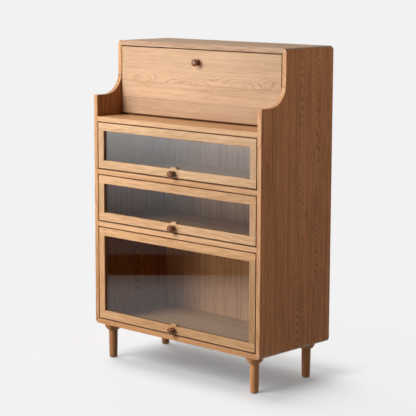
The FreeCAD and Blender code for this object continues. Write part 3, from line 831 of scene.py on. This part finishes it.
@dataclass(frozen=True)
class FittingFinish:
    """Metal, plastic or wool with the fine marks of its making.

    Attributes:
        stuff: Which of them it is.
        colour: Its colour.
        roughness: How dull it is.
        marks: Its marks.
        spread: How far its dullness varies with them.
        depth: How far apart their lowest and highest points lie.
        strength: How much of that shows.
        stains: Where it is darker.
        stain_tone: How light it is there.
        sheen: How much its hairs catch the light.
    """

    stuff: Stuff
    colour: Colour
    roughness: float
    marks: Texture
    spread: float
    depth: float
    strength: float
    stains: Texture
    stain_tone: float
    sheen: float = 0.0

    def material(self, name: str) -> bpy.types.Material:
        """Makes the material of a fitting.

        Args:
            name: Name of the fitting.

        Returns:
            The material.
        """
        wiring = Wiring(bpy.data.materials.new(name + "_" + self.stuff.value))
        marks = self.marks.marks(wiring)
        stained = darker(self.colour, self.stain_tone)
        wiring.show(wiring.shader(
            Shader.SOLID,
            Base_Color=wiring.mix(self.stains.marks(wiring), self.colour, stained),
            Metallic=float(self.stuff is Stuff.METAL),
            Roughness=(marks - CHANCE_MEAN) * self.spread + self.roughness,
            Sheen_Weight=self.sheen,
            Normal=wiring.bump(marks, self.depth, self.strength),
        ))
        return wiring.holder


GLASS = GlassFinish()
STEEL = FittingFinish(
    Stuff.METAL, srgb(186, 186, 184), roughness=0.32, marks=BRUSHING, spread=0.2,
    depth=0.00005, strength=0.2, stains=STAINS, stain_tone=0.7
)
PIN_STEEL = replace(STEEL, colour=srgb(104, 96, 88), roughness=0.42)
BRASS = replace(STEEL, colour=srgb(206, 168, 96), roughness=0.28)
BROWN_NYLON = FittingFinish(
    Stuff.PLASTIC, srgb(104, 72, 48), roughness=0.5, marks=MOULD_GRAIN, spread=0.2,
    depth=0.00008, strength=0.3, stains=MOULD_GRAIN, stain_tone=0.85
)
FELT = FittingFinish(
    Stuff.WOOL, srgb(122, 104, 84), roughness=0.93, marks=WOOL_HAIRS, spread=0.1,
    depth=0.0004, strength=0.8, stains=WOOL_HAIRS, stain_tone=0.5, sheen=0.4
)

Finish = Union[WoodFinish, GlassFinish, FittingFinish]

SAME_POINT = 1e-6
SMOOTH_ANGLE = math.radians(40)


def dress(node: str, finish: Finish) -> None:
    """Gives a CAD piece its finish.

    Args:
        node: Name of the piece.
        finish: What it is to look like.
    """
    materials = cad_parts[node].data.materials
    materials.clear()
    materials.append(finish.material(node))
    LOG.info("dressed %s", node)


def solids_in(node: str) -> list[list[Vector]]:
    """Finds the separate solids that share a CAD node.

    Args:
        node: Name of the node.

    Returns:
        The corner points of each solid.
    """
    form = bmesh.new()
    form.from_mesh(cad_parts[node].data)
    bmesh.ops.remove_doubles(form, verts=form.verts, dist=SAME_POINT)
    form.verts.ensure_lookup_table()
    waiting = set(form.verts)
    solids = []
    for first in form.verts:
        if first not in waiting:
            continue
        waiting.remove(first)
        reached = [first]
        for vertex in reached:
            for edge in vertex.link_edges:
                other = edge.other_vert(vertex)
                if other in waiting:
                    waiting.remove(other)
                    reached.append(other)
        solids.append([vertex.co.copy() for vertex in reached])
    form.free()
    return solids


def corners(points: list[Vector]) -> Box:
    """The lowest and the highest corner of some points."""
    return Vector(map(min, *points)), Vector(map(max, *points))


@dataclass
class Lathe:
    """Adds turned shapes to a mesh.

    Attributes:
        form: The mesh.
        place: Where the axis stands, along its own Z.
    """

    form: Form
    place: Matrix

    def point(self, x: float, y: float, height: float) -> bmesh.types.BMVert:
        """Adds a point."""
        return self.form.verts.new(self.place @ Vector((x, y, height)))

    def ring(self, radii: list[float], height: float) -> Ring:
        """Adds a closed ring of points round the axis.

        Args:
            radii: Distance of each point from the axis.
            height: Height of the ring along the axis.

        Returns:
            The points.
        """
        points = []
        for step, radius in enumerate(radii):
            angle = 2 * math.pi * step / len(radii)
            points.append(self.point(radius * math.cos(angle), radius * math.sin(angle), height))
        return points

    def skin(self, rings: list[Ring]) -> None:
        """Covers the way from each ring to the next with faces.

        Args:
            rings: Rings of equal counts, in order.
        """
        for lower, upper in zip(rings, rings[1:]):
            for step in range(len(lower)):
                self.form.faces.new((lower[step - 1], lower[step], upper[step], upper[step - 1]))


def add_piece(name: str, form: Form, finish: Finish, body: str, node: str) -> None:
    """Turns a mesh into a piece that stands for a CAD node.

    Args:
        name: Name of the piece.
        form: Its mesh, which is used up.
        finish: What it is to look like.
        body: Body that it moves with.
        node: The CAD node.
    """
    bmesh.ops.recalc_face_normals(form, faces=form.faces)
    mesh = bpy.data.meshes.new(name)
    form.to_mesh(mesh)
    form.free()
    mesh.shade_smooth()
    mesh.set_sharp_from_angle(angle=SMOOTH_ANGLE)
    mesh.materials.append(finish.material(name))
    piece = bpy.data.objects.new(name, mesh)
    bpy.context.scene.collection.objects.link(piece)
    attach(piece, body)
    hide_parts(node)
    LOG.info("built %s", name)


class Head(Enum):
    """Shape of a screw's head, in shares of its radius and height, from its flat down."""

    COUNTERSUNK = ((0.96, 0.0), (1.0, -0.06), (0.98, -0.12))
    PAN = ((0.72, 0.0), (0.86, -0.12), (0.95, -0.3), (1.0, -0.55), (1.0, -0.92), (0.96, -1.0))


@dataclass
class Screws:
    """Cross-recess screws in place of a node's plain ones.

    Attributes:
        node: The CAD node.
        body: Body that they move with.
        head: How their heads are shaped.
        shank: Radius over the thread.
        head_height: Height of the head.
        sides: How many points go round.
        rim_share: Share of the head's radius outside which a point is on its rim.
        arm_share: Length of an arm of the cross, as a share of the head's radius.
        half_share: Half the width of an arm, as such a share.
        floor_arm: Share of an arm's length that is left at the floor of the cross.
        floor_half: Share of its width that is left there.
        floor_share: How deep the cross is, as a share of the head's height.
        pitch: Distance from one turn of the thread to the next.
        turn_steps: How many rings make one turn.
        flank: How steep the thread is.
        groove: How deep it is, as a share of the shank's radius.
        point: Length of the point, in the shank's radii.
        tip: Radius of its tip, in the shank's radii.
    """

    node: str
    body: str
    head: Head
    shank: float
    head_height: float
    sides: int = 16
    rim_share: float = 0.95
    arm_share: float = 0.56
    half_share: float = 0.1
    floor_arm: float = 0.4
    floor_half: float = 0.8
    floor_share: float = 0.7
    pitch: float = 0.0018
    turn_steps: int = 4
    flank: float = 3.0
    groove: float = 0.3
    point: float = 1.6
    tip: float = 0.12

    def build(self) -> None:
        """Makes every screw where the node has it."""
        form = bmesh.new()
        for points in solids_in(self.node):
            place, radius, length = self.stance(points)
            lathe = Lathe(form, place)
            top, neck = self.head_rings(lathe, radius)
            self.recess(lathe, top, radius)
            self.thread(lathe, neck, length)
        add_piece(self.node.replace("screw", "cross_screw"), form, STEEL, self.body, self.node)

    def stance(self, points: list[Vector]) -> tuple[Matrix, float, float]:
        """Works out how a plain screw stands.

        Args:
            points: Its corner points.

        Returns:
            A place with its Z out of the middle of the head, the head's radius and the whole length.
        """
        low, high = corners(points)
        sizes = high - low
        along = max(range(len(sizes)), key=lambda step: sizes[step])
        axis = Matrix.Identity(3).row[along].copy()
        middle = (low + high) / 2
        radius = min(sizes) / 2
        arms = [point - middle for point in points]
        rim = [arm for arm in arms if arm.cross(axis).length > self.rim_share * radius]
        way = axis * math.copysign(1.0, sum(arm[along] for arm in rim))
        turn = Vector((0, 0, 1)).rotation_difference(way).to_matrix().to_4x4()
        return Matrix.Translation(middle + way * sizes[along] / 2) @ turn, radius, sizes[along]

    def round(self, lathe: Lathe, radius: float, height: float) -> Ring:
        """Adds a plain ring of the screw's count of points."""
        return lathe.ring([radius] * self.sides, height)

    def head_rings(self, lathe: Lathe, radius: float) -> tuple[Ring, Ring]:
        """Makes the sides of a head.

        Args:
            lathe: The mesh, and how the screw stands.
            radius: Radius of the head.

        Returns:
            The ring round the flat of the head and the ring round the neck below it.
        """
        rings = []
        for share, drop in self.head.value:
            rings.append(self.round(lathe, share * radius, drop * self.head_height))
        rings.append(self.round(lathe, self.shank, -self.head_height))
        lathe.skin(rings)
        return rings[0], rings[-1]

    def recess(self, lathe: Lathe, top: Ring, radius: float) -> None:
        """Sinks a cross into the flat of a head.

        Args:
            lathe: The mesh, and how the screw stands.
            top: The ring round the flat.
            radius: Radius of the head.
        """
        arm = self.arm_share * radius
        half = self.half_share * radius
        depth = self.floor_share * self.head_height
        mouth = self.cross(lathe, arm, half, 0.0)
        floor = self.cross(lathe, self.floor_arm * arm, self.floor_half * half, -depth)
        lathe.skin([mouth, floor])
        bmesh.ops.triangulate(lathe.form, faces=[lathe.form.faces.new(floor)])
        edges = []
        for outline in (top, mouth):
            edges += [lathe.form.edges.get(pair) for pair in zip(outline, outline[-1:] + outline)]
        bmesh.ops.triangle_fill(lathe.form, use_beauty=True, use_dissolve=False, edges=edges)

    def cross(self, lathe: Lathe, arm: float, half: float, height: float) -> Ring:
        """Adds the outline of a cross.

        Args:
            lathe: The mesh, and how the screw stands.
            arm: Length of an arm.
            half: Half the width of an arm.
            height: Height of the outline.

        Returns:
            Its twelve points.
        """
        points = []
        for quarter in range(4):
            turn = Matrix.Rotation(math.pi / 2 * quarter, 3, "Z")
            for x, y in ((arm, -half), (arm, half), (half, half)):
                points.append(lathe.point(*(turn @ Vector((x, y, height)))))
        return points

    def thread(self, lathe: Lathe, neck: Ring, length: float) -> None:
        """Makes the threaded shank and its point.

        Args:
            lathe: The mesh, and how the screw stands.
            neck: The ring that it starts from.
            length: Length of the whole screw.
        """
        threaded = length - self.head_height - self.point * self.shank
        rings = [neck]
        for step in range(1, int(threaded / self.pitch * self.turn_steps) + 1):
            height = -self.head_height - step * self.pitch / self.turn_steps
            turns = [(step / self.turn_steps + side / self.sides) % 1.0 for side in range(self.sides)]
            cuts = [self.groove * min(1.0, self.flank * abs(turn - 0.5)) for turn in turns]
            rings.append(lathe.ring([self.shank * (1.0 - cut) for cut in cuts], height))
        rings.append(self.round(lathe, self.tip * self.shank, -length))
        lathe.skin(rings)
        lathe.form.faces.new(rings[-1])


@dataclass
class Carcass:
    """Boards, back and hidden joinery that stand still.

    Attributes:
        side_staves: Staves of a side panel, from front to back.
        deck_staves: Staves of the top, the shelves and the bottom, from front to back.
        back_staves: Staves of the back panel, from left to right.
        side_seed: First number for the grain of the side panels.
        deck_seed: First number for that of the top, the shelves and the bottom.
        back_seed: Number for that of the back panel.
        spline_seed: Number for that of the corner splines.
        dowel_seed: Number for that of the dowels.
        back_screw_shank: Radius of the back panel's screws.
        back_screw_head: Depth of their countersunk heads.
        catch_screw_shank: Radius of the catches' screws.
        catch_screw_head: Height of their heads.
    """

    side_staves: tuple[Stave, ...] = (
        Stave(end=-0.117, lean=0.13),
        Stave(end=-0.051, tone=0.95, lean=-0.12),
        Stave(end=0.078, tone=0.98, lean=-0.012, taper=0.2),
        Stave(end=0.142, tone=0.97, lean=-0.014, taper=0.18),
        Stave(tone=1.04, lean=0.14),
    )
    deck_staves: tuple[Stave, ...] = (
        Stave(end=-0.09, lean=0.1),
        Stave(end=0.005, tone=1.02, lean=-0.09),
        Stave(end=0.104, tone=0.98, lean=0.02, taper=0.05),
        Stave(lean=-0.1),
    )
    back_staves: tuple[Stave, ...] = (
        Stave(end=-0.31),
        Stave(end=-0.2, tone=0.98, lean=-0.12),
        Stave(end=-0.11, tone=1.08),
        Stave(end=0.02, tone=1.06, lean=0.02, taper=0.06),
        Stave(end=0.12, tone=1.1),
        Stave(end=0.21, tone=1.02, lean=-0.1),
        Stave(end=0.3, tone=1.08),
        Stave(tone=1.04, lean=-0.12),
    )
    side_seed: int = 11
    deck_seed: int = 21
    back_seed: int = 31
    spline_seed: int = 35
    dowel_seed: int = 36
    back_screw_shank: float = 0.002
    back_screw_head: float = 0.002
    catch_screw_shank: float = 0.0015
    catch_screw_head: float = 0.0018

    def build(self) -> None:
        """Makes the screws that show, and gives every fixed piece its finish."""
        screws = (
            Screws(
                "back_panel_screws", "carcass", Head.COUNTERSUNK, self.back_screw_shank, self.back_screw_head
            ),
            Screws("catch_screws", "carcass", Head.PAN, self.catch_screw_shank, self.catch_screw_head),
        )
        for group in screws:
            group.build()
        sides = (("left_side_panel", LEFT_EDGE_OAK), ("right_side_panel", RIGHT_EDGE_OAK))
        for seed, (node, edge) in enumerate(sides, start=self.side_seed):
            dress(node, WoodFinish(
                SIDE_OAK, Axis.Z, Axis.Y, seed, self.side_staves, edge, inside=PAINTED_SHADE_INSIDE_OAK,
                heart=0.03, waviness=0.045, wander=(4.0, 10.0), ripple=0.008, figure=0.6, flecks=0.9
            ))
        decks = (
            ("top_panel", TOP_OAK_WITH_PAINTED_SHEEN, TOP_EDGE_OAK),
            ("counter_panel", COUNTER_OAK, COUNTER_EDGE_OAK),
            ("upper_shelf", SHELF_OAK, UPPER_EDGE_OAK),
            ("lower_shelf", SHELF_OAK, LOWER_EDGE_OAK),
            ("bottom_panel", SHELF_OAK, BASE_EDGE_OAK),
        )
        for seed, (node, broad, edge) in enumerate(decks, start=self.deck_seed):
            dress(node, WoodFinish(broad, Axis.X, Axis.Y, seed, self.deck_staves, edge))
        dress("back_panel", WoodFinish(
            BACK_OAK, Axis.Z, Axis.X, self.back_seed, self.back_staves, figure=0.2
        ))
        dress("corner_splines", WoodFinish(BEECH, Axis.X, Axis.Z, self.spline_seed))
        dress("shelf_dowels", WoodFinish(BEECH, Axis.X, Axis.Y, self.dowel_seed))
        dress("pivot_bushes", BROWN_NYLON)
        dress("catch_housings", BROWN_NYLON)
        dress("catch_magnets", STEEL)


LEG_NODES = ("front_left_leg", "front_right_leg", "back_left_leg", "back_right_leg")


@dataclass
class Legs:
    """Four turned legs with their fixings and pads.

    Attributes:
        seed: First number for the grain of the legs.
        painted_light_tones: How light each leg is painted, as painted light and shade: front right lighter,
            front left darker.
        lean: How far the middle of a leg's log lies to the side of it.
        pad_outline: Shares of a pad's radius and of its thickness, from its underside to its top.
        pad_sides: How many points go round a pad.
        pad_fuzz: How far the wool stands back from the edge, as a share of the radius.
        pad_seed: Number that makes the pads' edges their own.
    """

    seed: int = 41
    # Painted light on the front right leg and painted shade on the front left one
    painted_light_tones: tuple[float, ...] = (0.8, 1.34, 0.95, 1.0)
    lean: float = 0.05
    pad_outline: tuple[Range, ...] = (
        (0.55, 0.0), (0.93, 0.0), (0.985, 0.18), (1.0, 0.45),
        (1.0, 0.6), (0.985, 0.85), (0.93, 1.0), (0.55, 1.0),
    )
    pad_sides: int = 48
    pad_fuzz: float = 0.02
    pad_seed: int = 47

    def build(self) -> None:
        """Makes the pads, and gives the legs and what holds them their finishes."""
        self.pads()
        for seed, (node, tone) in enumerate(zip(LEG_NODES, self.painted_light_tones), start=self.seed):
            dress(node, WoodFinish(LEG_OAK, Axis.Z, Axis.X, seed, (Stave(tone=tone, lean=self.lean),)))
        dress("leg_bolts", STEEL)
        dress("leg_inserts", BRASS)

    def pads(self) -> None:
        """Makes felt pads with soft edges."""
        form = bmesh.new()
        wool = random.Random(self.pad_seed)
        for points in solids_in("foot_pads"):
            low, high = corners(points)
            middle = (low + high) / 2
            lathe = Lathe(form, Matrix.Translation((middle.x, middle.y, low.z)))
            rings = []
            for share, height in self.pad_outline:
                reach = share * (high.x - low.x) / 2
                radii = [reach * (1.0 - wool.random() * self.pad_fuzz) for _ in range(self.pad_sides)]
                rings.append(lathe.ring(radii, height * (high.z - low.z)))
            lathe.skin(rings)
            form.faces.new(rings[0])
            form.faces.new(rings[-1])
        add_piece("felt_foot_pads", form, FELT, "carcass", "foot_pads")


KNOB_SCREW_SHANK = 0.002
KNOB_SCREW_HEAD = 0.0026
KNOB_LEAN = 0.03


def fit_out(front: Front, knob_seed: int) -> None:
    """Makes the knob's screw of a front, and gives its knob, pins and strike plate their finishes.

    Args:
        front: The door or the flap.
        knob_seed: Number that makes the knob's grain its own.
    """
    body = front.value
    Screws(body + "_knob_screw", body, Head.PAN, KNOB_SCREW_SHANK, KNOB_SCREW_HEAD).build()
    dress(body + "_knob", WoodFinish(WALNUT, Axis.Y, Axis.X, knob_seed, (Stave(lean=KNOB_LEAN),)))
    dress(body + "_pivot_pins", PIN_STEEL)
    dress(body + "_strike_plate", STEEL)


@dataclass
class GlassDoor:
    """One lift-up door: a tenoned frame, its glass and its knob.

    Attributes:
        front: Which door it is.
        seed: First number for the grain of its frame.
        timber: The batch of wood of its frame.
        top_rail: How the top rail is cut.
        bottom_rail: How the bottom rail is cut.
        left_stile: How the left stile is cut.
        right_stile: How the right stile is cut.
    """

    front: Front
    seed: int
    timber: Timber
    top_rail: Stave
    bottom_rail: Stave
    left_stile: Stave
    right_stile: Stave

    def build(self) -> None:
        """Fits the door out, and gives its frame and its glass their finishes."""
        cuts = {
            "top_rail": (Axis.X, Axis.Z, self.top_rail),
            "bottom_rail": (Axis.X, Axis.Z, self.bottom_rail),
            "left_stile": (Axis.Z, Axis.X, self.left_stile),
            "right_stile": (Axis.Z, Axis.X, self.right_stile),
            "glazing_beads": (Axis.X, Axis.Z, Stave()),
        }
        fit_out(self.front, self.seed + len(cuts))
        for seed, (piece, (along, across, stave)) in enumerate(cuts.items(), start=self.seed):
            # Painted shade: bottom rails on their lowest rim and flanks, the other frame pieces on all their
            # edges
            edge, rims = (PAINTED_SHADE_LOW_RIM_OAK, Rims.PAINTED_SHADE_FLANKS) if piece == "bottom_rail" else (PAINTED_SHADE_EDGE_OAK, Rims.EDGES)
            dress(self.front.value + "_" + piece, WoodFinish(
                self.timber, along, across, seed, (stave,), edge, rims, figure=0.4, flecks=1.2
            ))
        dress(self.front.value + "_glass", GLASS)


@dataclass
class DropFront:
    """The flap of the top compartment.

    Attributes:
        boards: Its three boards, from the lowest up.
        seed: Number for their grain.
        knob_seed: Number for that of its knob.
    """

    boards: tuple[Stave, ...] = (
        Stave(end=0.9575, tone=0.85, wild=0.4),
        Stave(end=1.017, lean=-0.14, wild=0.3),
        Stave(lean=0.06),
    )
    seed: int = 91
    knob_seed: int = 95

    def build(self) -> None:
        """Fits the flap out, and gives its boards their finish."""
        fit_out(Front.FLAP, self.knob_seed)
        # The flap's edges take painted shade
        dress("flap_panel", WoodFinish(
            FLAP_OAK, Axis.X, Axis.Z, self.seed, self.boards, PAINTED_SHADE_EDGE_OAK,
            heart=0.07, waviness=0.03, wander=(8.0, 12.0), ripple=0.006, figure=0.45, streaks=0.7, flecks=0.5
        ))


class Reach(Enum):
    """What a soft lamp lights."""

    CABINET = "the whole cabinet"
    RIGHT = "its right side and the legs there"


@dataclass(frozen=True)
class SoftLamp:
    """A square lamp with a soft front.

    Attributes:
        name: Name of the lamp.
        size: Length of its sides.
        power: Its power, in watts.
        place: Where it hangs.
        target: What it points at.
        tint: Colour of its light.
        mirrored: Whether glass and polish mirror it.
        reach: What it lights.
    """

    name: str
    size: float
    power: float
    place: Place
    target: Place
    tint: Tint = (1.0, 1.0, 1.0)
    mirrored: bool = False
    reach: Reach = Reach.CABINET


@dataclass(frozen=True)
class FloorLamp:
    """A wide lamp far overhead, for the shadow on the floor.

    Attributes:
        name: Name of the lamp.
        place: Where it hangs.
        spread: How wide it looks from the floor, in degrees.
        share: Share of the floor's light that it gives.
    """

    name: str
    place: Place
    spread: float
    share: float


@dataclass
class Studio:
    """Pale floor, soft lamps and the camera.

    Attributes:
        pale: How bright the floor and the background show.
        shade: Colour of the floor where no lamp reaches it, a little cool to offset the warm room.
        ambient: Light of the room on the cabinet, a little warm from its walls.
        dimming: How much less of it comes from the side where the camera stands.
        dim_turn: Where that side is, in degrees to the right of the front.
        front: How bright polish mirrors the room in front of the cabinet.
        front_range: From how far forwards to how far back the mirrored room turns pale.
        bounce: Share of its light that the floor throws back.
        floor_half: Half the width of the floor.
        sheet_turn: Which way mirrors see the floor's painted reflection run, in degrees to the left of the
            front.
        sheet_end: How far its pale part goes on that way before a dark gap.
        sheet_fade: How long before its end it starts to dim.
        sheet_dim: How much it dims there.
        sheet_slope: How much brighter it gets in a metre to the right.
        sheet_left: How far to the left that starts.
        sweep_start: How far out the painted reflection glows bright again.
        sweep_soft: How far to either side of that it brightens.
        sweep_near: How far to the front it starts to brighten.
        sweep_base: Its brightness there.
        sweep_rise: How fast it brightens from there.
        sweep_growth: How much faster further out.
        soft_lamps: The lamps for the cabinet.
        floor_lamps: The lamps for the floor.
        camera_place: Where the camera stands.
        camera_yaw: How far the camera is turned to the left, in degrees.
        camera_pitch: How far it looks down, in degrees.
        camera_roll: How far it leans, in degrees.
        camera_lens: Its focal length, in millimetres.
        camera_reach: How far it sees.
    """

    pale: float = 0.887
    shade: Tint = (0.228, 0.236, 0.243)
    ambient: Tint = (0.2, 0.165, 0.14)
    dimming: float = 1.0
    dim_turn: float = 70.0
    front: float = 0.3
    front_range: Range = (-0.5, 0.1)
    bounce: float = 0.14
    floor_half: float = 30.0
    sheet_turn: float = 43.0
    sheet_end: float = 1.86
    sheet_fade: float = 0.4
    sheet_dim: float = 0.5
    sheet_slope: float = 0.1
    sheet_left: float = 2.1
    sweep_start: float = 2.38
    sweep_soft: float = 0.06
    sweep_near: float = 1.86
    sweep_base: float = 0.2
    sweep_rise: float = 0.65
    sweep_growth: float = 0.09
    soft_lamps: tuple[SoftLamp, ...] = (
        SoftLamp(
            "key_lamp", size=1.1, power=47.0, place=(-0.97, -1.97, 1.93), target=(0.0, -0.1, 0.75),
            mirrored=True
        ),
        SoftLamp(
            "low_lamp", size=0.9, power=9.0, place=(-1.0, -1.75, 0.42), target=(0.0, -0.1, 0.4),
            tint=(1.0, 0.88, 0.74)
        ),
        SoftLamp(
            "side_lamp", size=1.0, power=4.8, place=(2.1, -0.3, 1.8), target=(0.4, 0.05, 0.7),
            tint=(1.0, 0.75, 0.57), reach=Reach.RIGHT
        ),
    )
    floor_lamps: tuple[FloorLamp, ...] = (
        FloorLamp("front_overhead_lamp", place=(-0.59, -2.6, 3.0), spread=34.0, share=0.5),
        FloorLamp("left_overhead_lamp", place=(-2.84, 0.6, 3.0), spread=46.0, share=0.5),
    )
    camera_place: Place = (3.592, -3.852, 1.428)
    camera_yaw: float = 42.974
    camera_pitch: float = 9.151
    camera_roll: float = 0.172
    camera_lens: float = 130.23
    camera_reach: float = 120.0

    def build(self) -> None:
        """Makes the floor, the room, the lamps and the camera."""
        floor = self.floor()
        self.room()
        self.lamps(floor)
        self.camera()

    def floor(self) -> bpy.types.Object:
        """Makes the floor: pale to the eye, grey to the light that it throws back, and a painted reflection
        for glass and polish.

        Returns:
            The floor.
        """
        half = self.floor_half
        points = [(-half, -half, 0), (half, -half, 0), (half, half, 0), (-half, half, 0)]
        mesh = bpy.data.meshes.new("floor")
        mesh.from_pydata(points, [], [range(len(points))])
        floor = bpy.data.objects.new("floor", mesh)
        bpy.context.scene.collection.objects.link(floor)
        wiring = Wiring(bpy.data.materials.new("studio_floor"))
        lit = wiring.shader(Shader.MATT, Color=(*(self.pale - part for part in self.shade), 1.0))
        glow = wiring.shader(Shader.GLOW, Color=(*self.shade, 1.0))
        thrown = wiring.shader(Shader.MATT, Color=(self.bounce, self.bounce, self.bounce, 1.0))
        # Painted reflection: a glow on the floor that only glass and polish see
        mirrored = wiring.shader(Shader.GLOW, Color=WHITE, Strength=self.painted_floor_reflection(wiring))
        wiring.show(wiring.by_ray(thrown, wiring.sum(lit, glow), mirrored))
        mesh.materials.append(wiring.holder)
        floor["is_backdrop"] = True
        return floor

    def painted_floor_reflection(self, wiring: Wiring) -> Signal:
        """Painted reflection: a glow that only glass and polish see on the floor, pale, then a dark gap,
        then a bright sweep.

        Args:
            wiring: The floor's material.

        Returns:
            The brightness.
        """
        x, y, _ = wiring.place()
        out = self.forwards(x, y, -self.sheet_turn)
        fading = out.between(self.sheet_end - self.sheet_fade, self.sheet_end)
        near = (fading * -self.sheet_dim + 1.0) * self.pale * out.above(self.sheet_end).rest()
        beyond = wiring.math("MAXIMUM", y * -1.0 - self.sweep_near, 0.0)
        far = beyond * (beyond * self.sweep_growth + self.sweep_rise) + self.sweep_base
        start = out.between(self.sweep_start - self.sweep_soft, self.sweep_start + self.sweep_soft)
        return near * ((x + self.sheet_left) * self.sheet_slope + 1.0) + far * start

    def forwards(self, x: Signal, y: Signal, turn: float) -> Signal:
        """How far out a point lies, some degrees to the right of the front."""
        angle = math.radians(turn)
        return x * math.sin(angle) - y * math.cos(angle)

    def room(self) -> None:
        """Lights the scene from all round, and shows a pale backdrop."""
        wiring = Wiring(bpy.data.worlds.new("studio"))
        x, y, _ = wiring.place("Generated")
        strength = self.forwards(x, y, self.dim_turn) * -self.dimming + 1.0
        light = wiring.shader(Shader.BACKDROP, Color=(*self.ambient, 1.0), Strength=strength)
        picture = wiring.shader(Shader.BACKDROP, Color=WHITE, Strength=self.pale)
        behind = y.between(*self.front_range) * (self.pale - self.front) + self.front
        mirrored = wiring.shader(Shader.BACKDROP, Color=WHITE, Strength=behind)
        wiring.show(wiring.by_ray(light, picture, mirrored))
        bpy.context.scene.world = wiring.holder

    def lamps(self, floor: bpy.types.Object) -> None:
        """Hangs the soft lamps for the cabinet, and the wide ones for the shadow on the floor.

        Args:
            floor: The floor.
        """
        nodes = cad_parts
        right = [nodes[name] for name in ("right_side_panel", "front_right_leg", "back_right_leg")]
        lit = {
            Reach.CABINET: self.group("lamp_pieces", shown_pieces()),
            Reach.RIGHT: self.group("side_lamp_pieces", right),
        }
        ground = self.group("overhead_lamp_floor", [floor])
        base = self.group("overhead_lamp_base", [nodes[name] for name in ("bottom_panel", *LEG_NODES)])
        for lamp in self.soft_lamps:
            light = bpy.data.lights.new(lamp.name, "AREA")
            light.size = lamp.size
            light.energy = lamp.power
            light.color = lamp.tint
            self.hang(light, lamp.place, lamp.target, lit[lamp.reach]).visible_glossy = lamp.mirrored
        for lamp in self.floor_lamps:
            light = bpy.data.lights.new(lamp.name, "SUN")
            light.angle = math.radians(lamp.spread)
            light.energy = lamp.share * math.pi * Vector(lamp.place).length / lamp.place[2]
            light.color = [1.0 - part for part in self.ambient]
            self.hang(light, lamp.place, ORIGIN, ground).light_linking.blocker_collection = base

    def group(self, name: str, members: list[bpy.types.Object]) -> bpy.types.Collection:
        """Makes a collection that isn't part of the scene.

        Args:
            name: Name of the collection.
            members: What goes into it.

        Returns:
            The collection.
        """
        collection = bpy.data.collections.new(name)
        for member in members:
            collection.objects.link(member)
        return collection

    def hang(
        self, light: bpy.types.Light, place: Place, target: Place, lit: bpy.types.Collection
    ) -> bpy.types.Object:
        """Puts a lamp in its place.

        Args:
            light: The lamp.
            place: Where it hangs.
            target: What it points at.
            lit: The only things that it lights.

        Returns:
            The object that holds the lamp.
        """
        holder = bpy.data.objects.new(light.name, light)
        bpy.context.scene.collection.objects.link(holder)
        holder.location = place
        holder.rotation_euler = (Vector(target) - Vector(place)).to_track_quat("-Z", "Y").to_euler()
        holder.light_linking.receiver_collection = lit
        return holder

    def camera(self) -> None:
        """Puts the camera where the photograph was taken from."""
        camera = bpy.data.cameras.new("camera")
        camera.lens = self.camera_lens
        camera.clip_end = self.camera_reach
        holder = bpy.data.objects.new("camera", camera)
        turn = Matrix.Rotation(math.radians(self.camera_yaw), 4, "Z")
        tilt = Matrix.Rotation(math.pi / 2 - math.radians(self.camera_pitch), 4, "X")
        roll = Matrix.Rotation(math.radians(self.camera_roll), 4, "Z")
        holder.matrix_world = Matrix.Translation(self.camera_place) @ turn @ tilt @ roll
        bpy.context.scene.collection.objects.link(holder)
        bpy.context.scene.camera = holder


def main() -> None:
    """Dresses the cabinet, sub-assembly by sub-assembly, and sets up the studio."""
    logging.basicConfig(level=logging.INFO, format="%(name)s: %(message)s")
    bpy.context.scene.view_settings.view_transform = "Standard"
    # Rail and stile tones are partly the wood's own and partly painted light and shade across the fronts
    upper_door = GlassDoor(
        Front.UPPER, seed=51, timber=UPPER_DOOR_OAK,
        top_rail=Stave(tone=0.95), bottom_rail=Stave(tone=0.98),
        left_stile=Stave(tone=0.87), right_stile=Stave(tone=0.88)
    )
    middle_door = GlassDoor(
        Front.MIDDLE, seed=61, timber=MIDDLE_DOOR_OAK,
        top_rail=Stave(), bottom_rail=Stave(tone=1.04, lean=0.03, taper=0.07),
        left_stile=Stave(tone=0.87), right_stile=Stave(tone=0.94)
    )
    lower_door = GlassDoor(
        Front.LOWER, seed=71, timber=LOWER_DOOR_OAK,
        top_rail=Stave(tone=1.03), bottom_rail=Stave(tone=0.98),
        left_stile=Stave(tone=1.02), right_stile=Stave(tone=0.83)
    )
    for part in (Carcass(), Legs(), upper_door, middle_door, lower_door, DropFront(), Studio()):
        part.build()


if __name__ == "__main__":
    main()
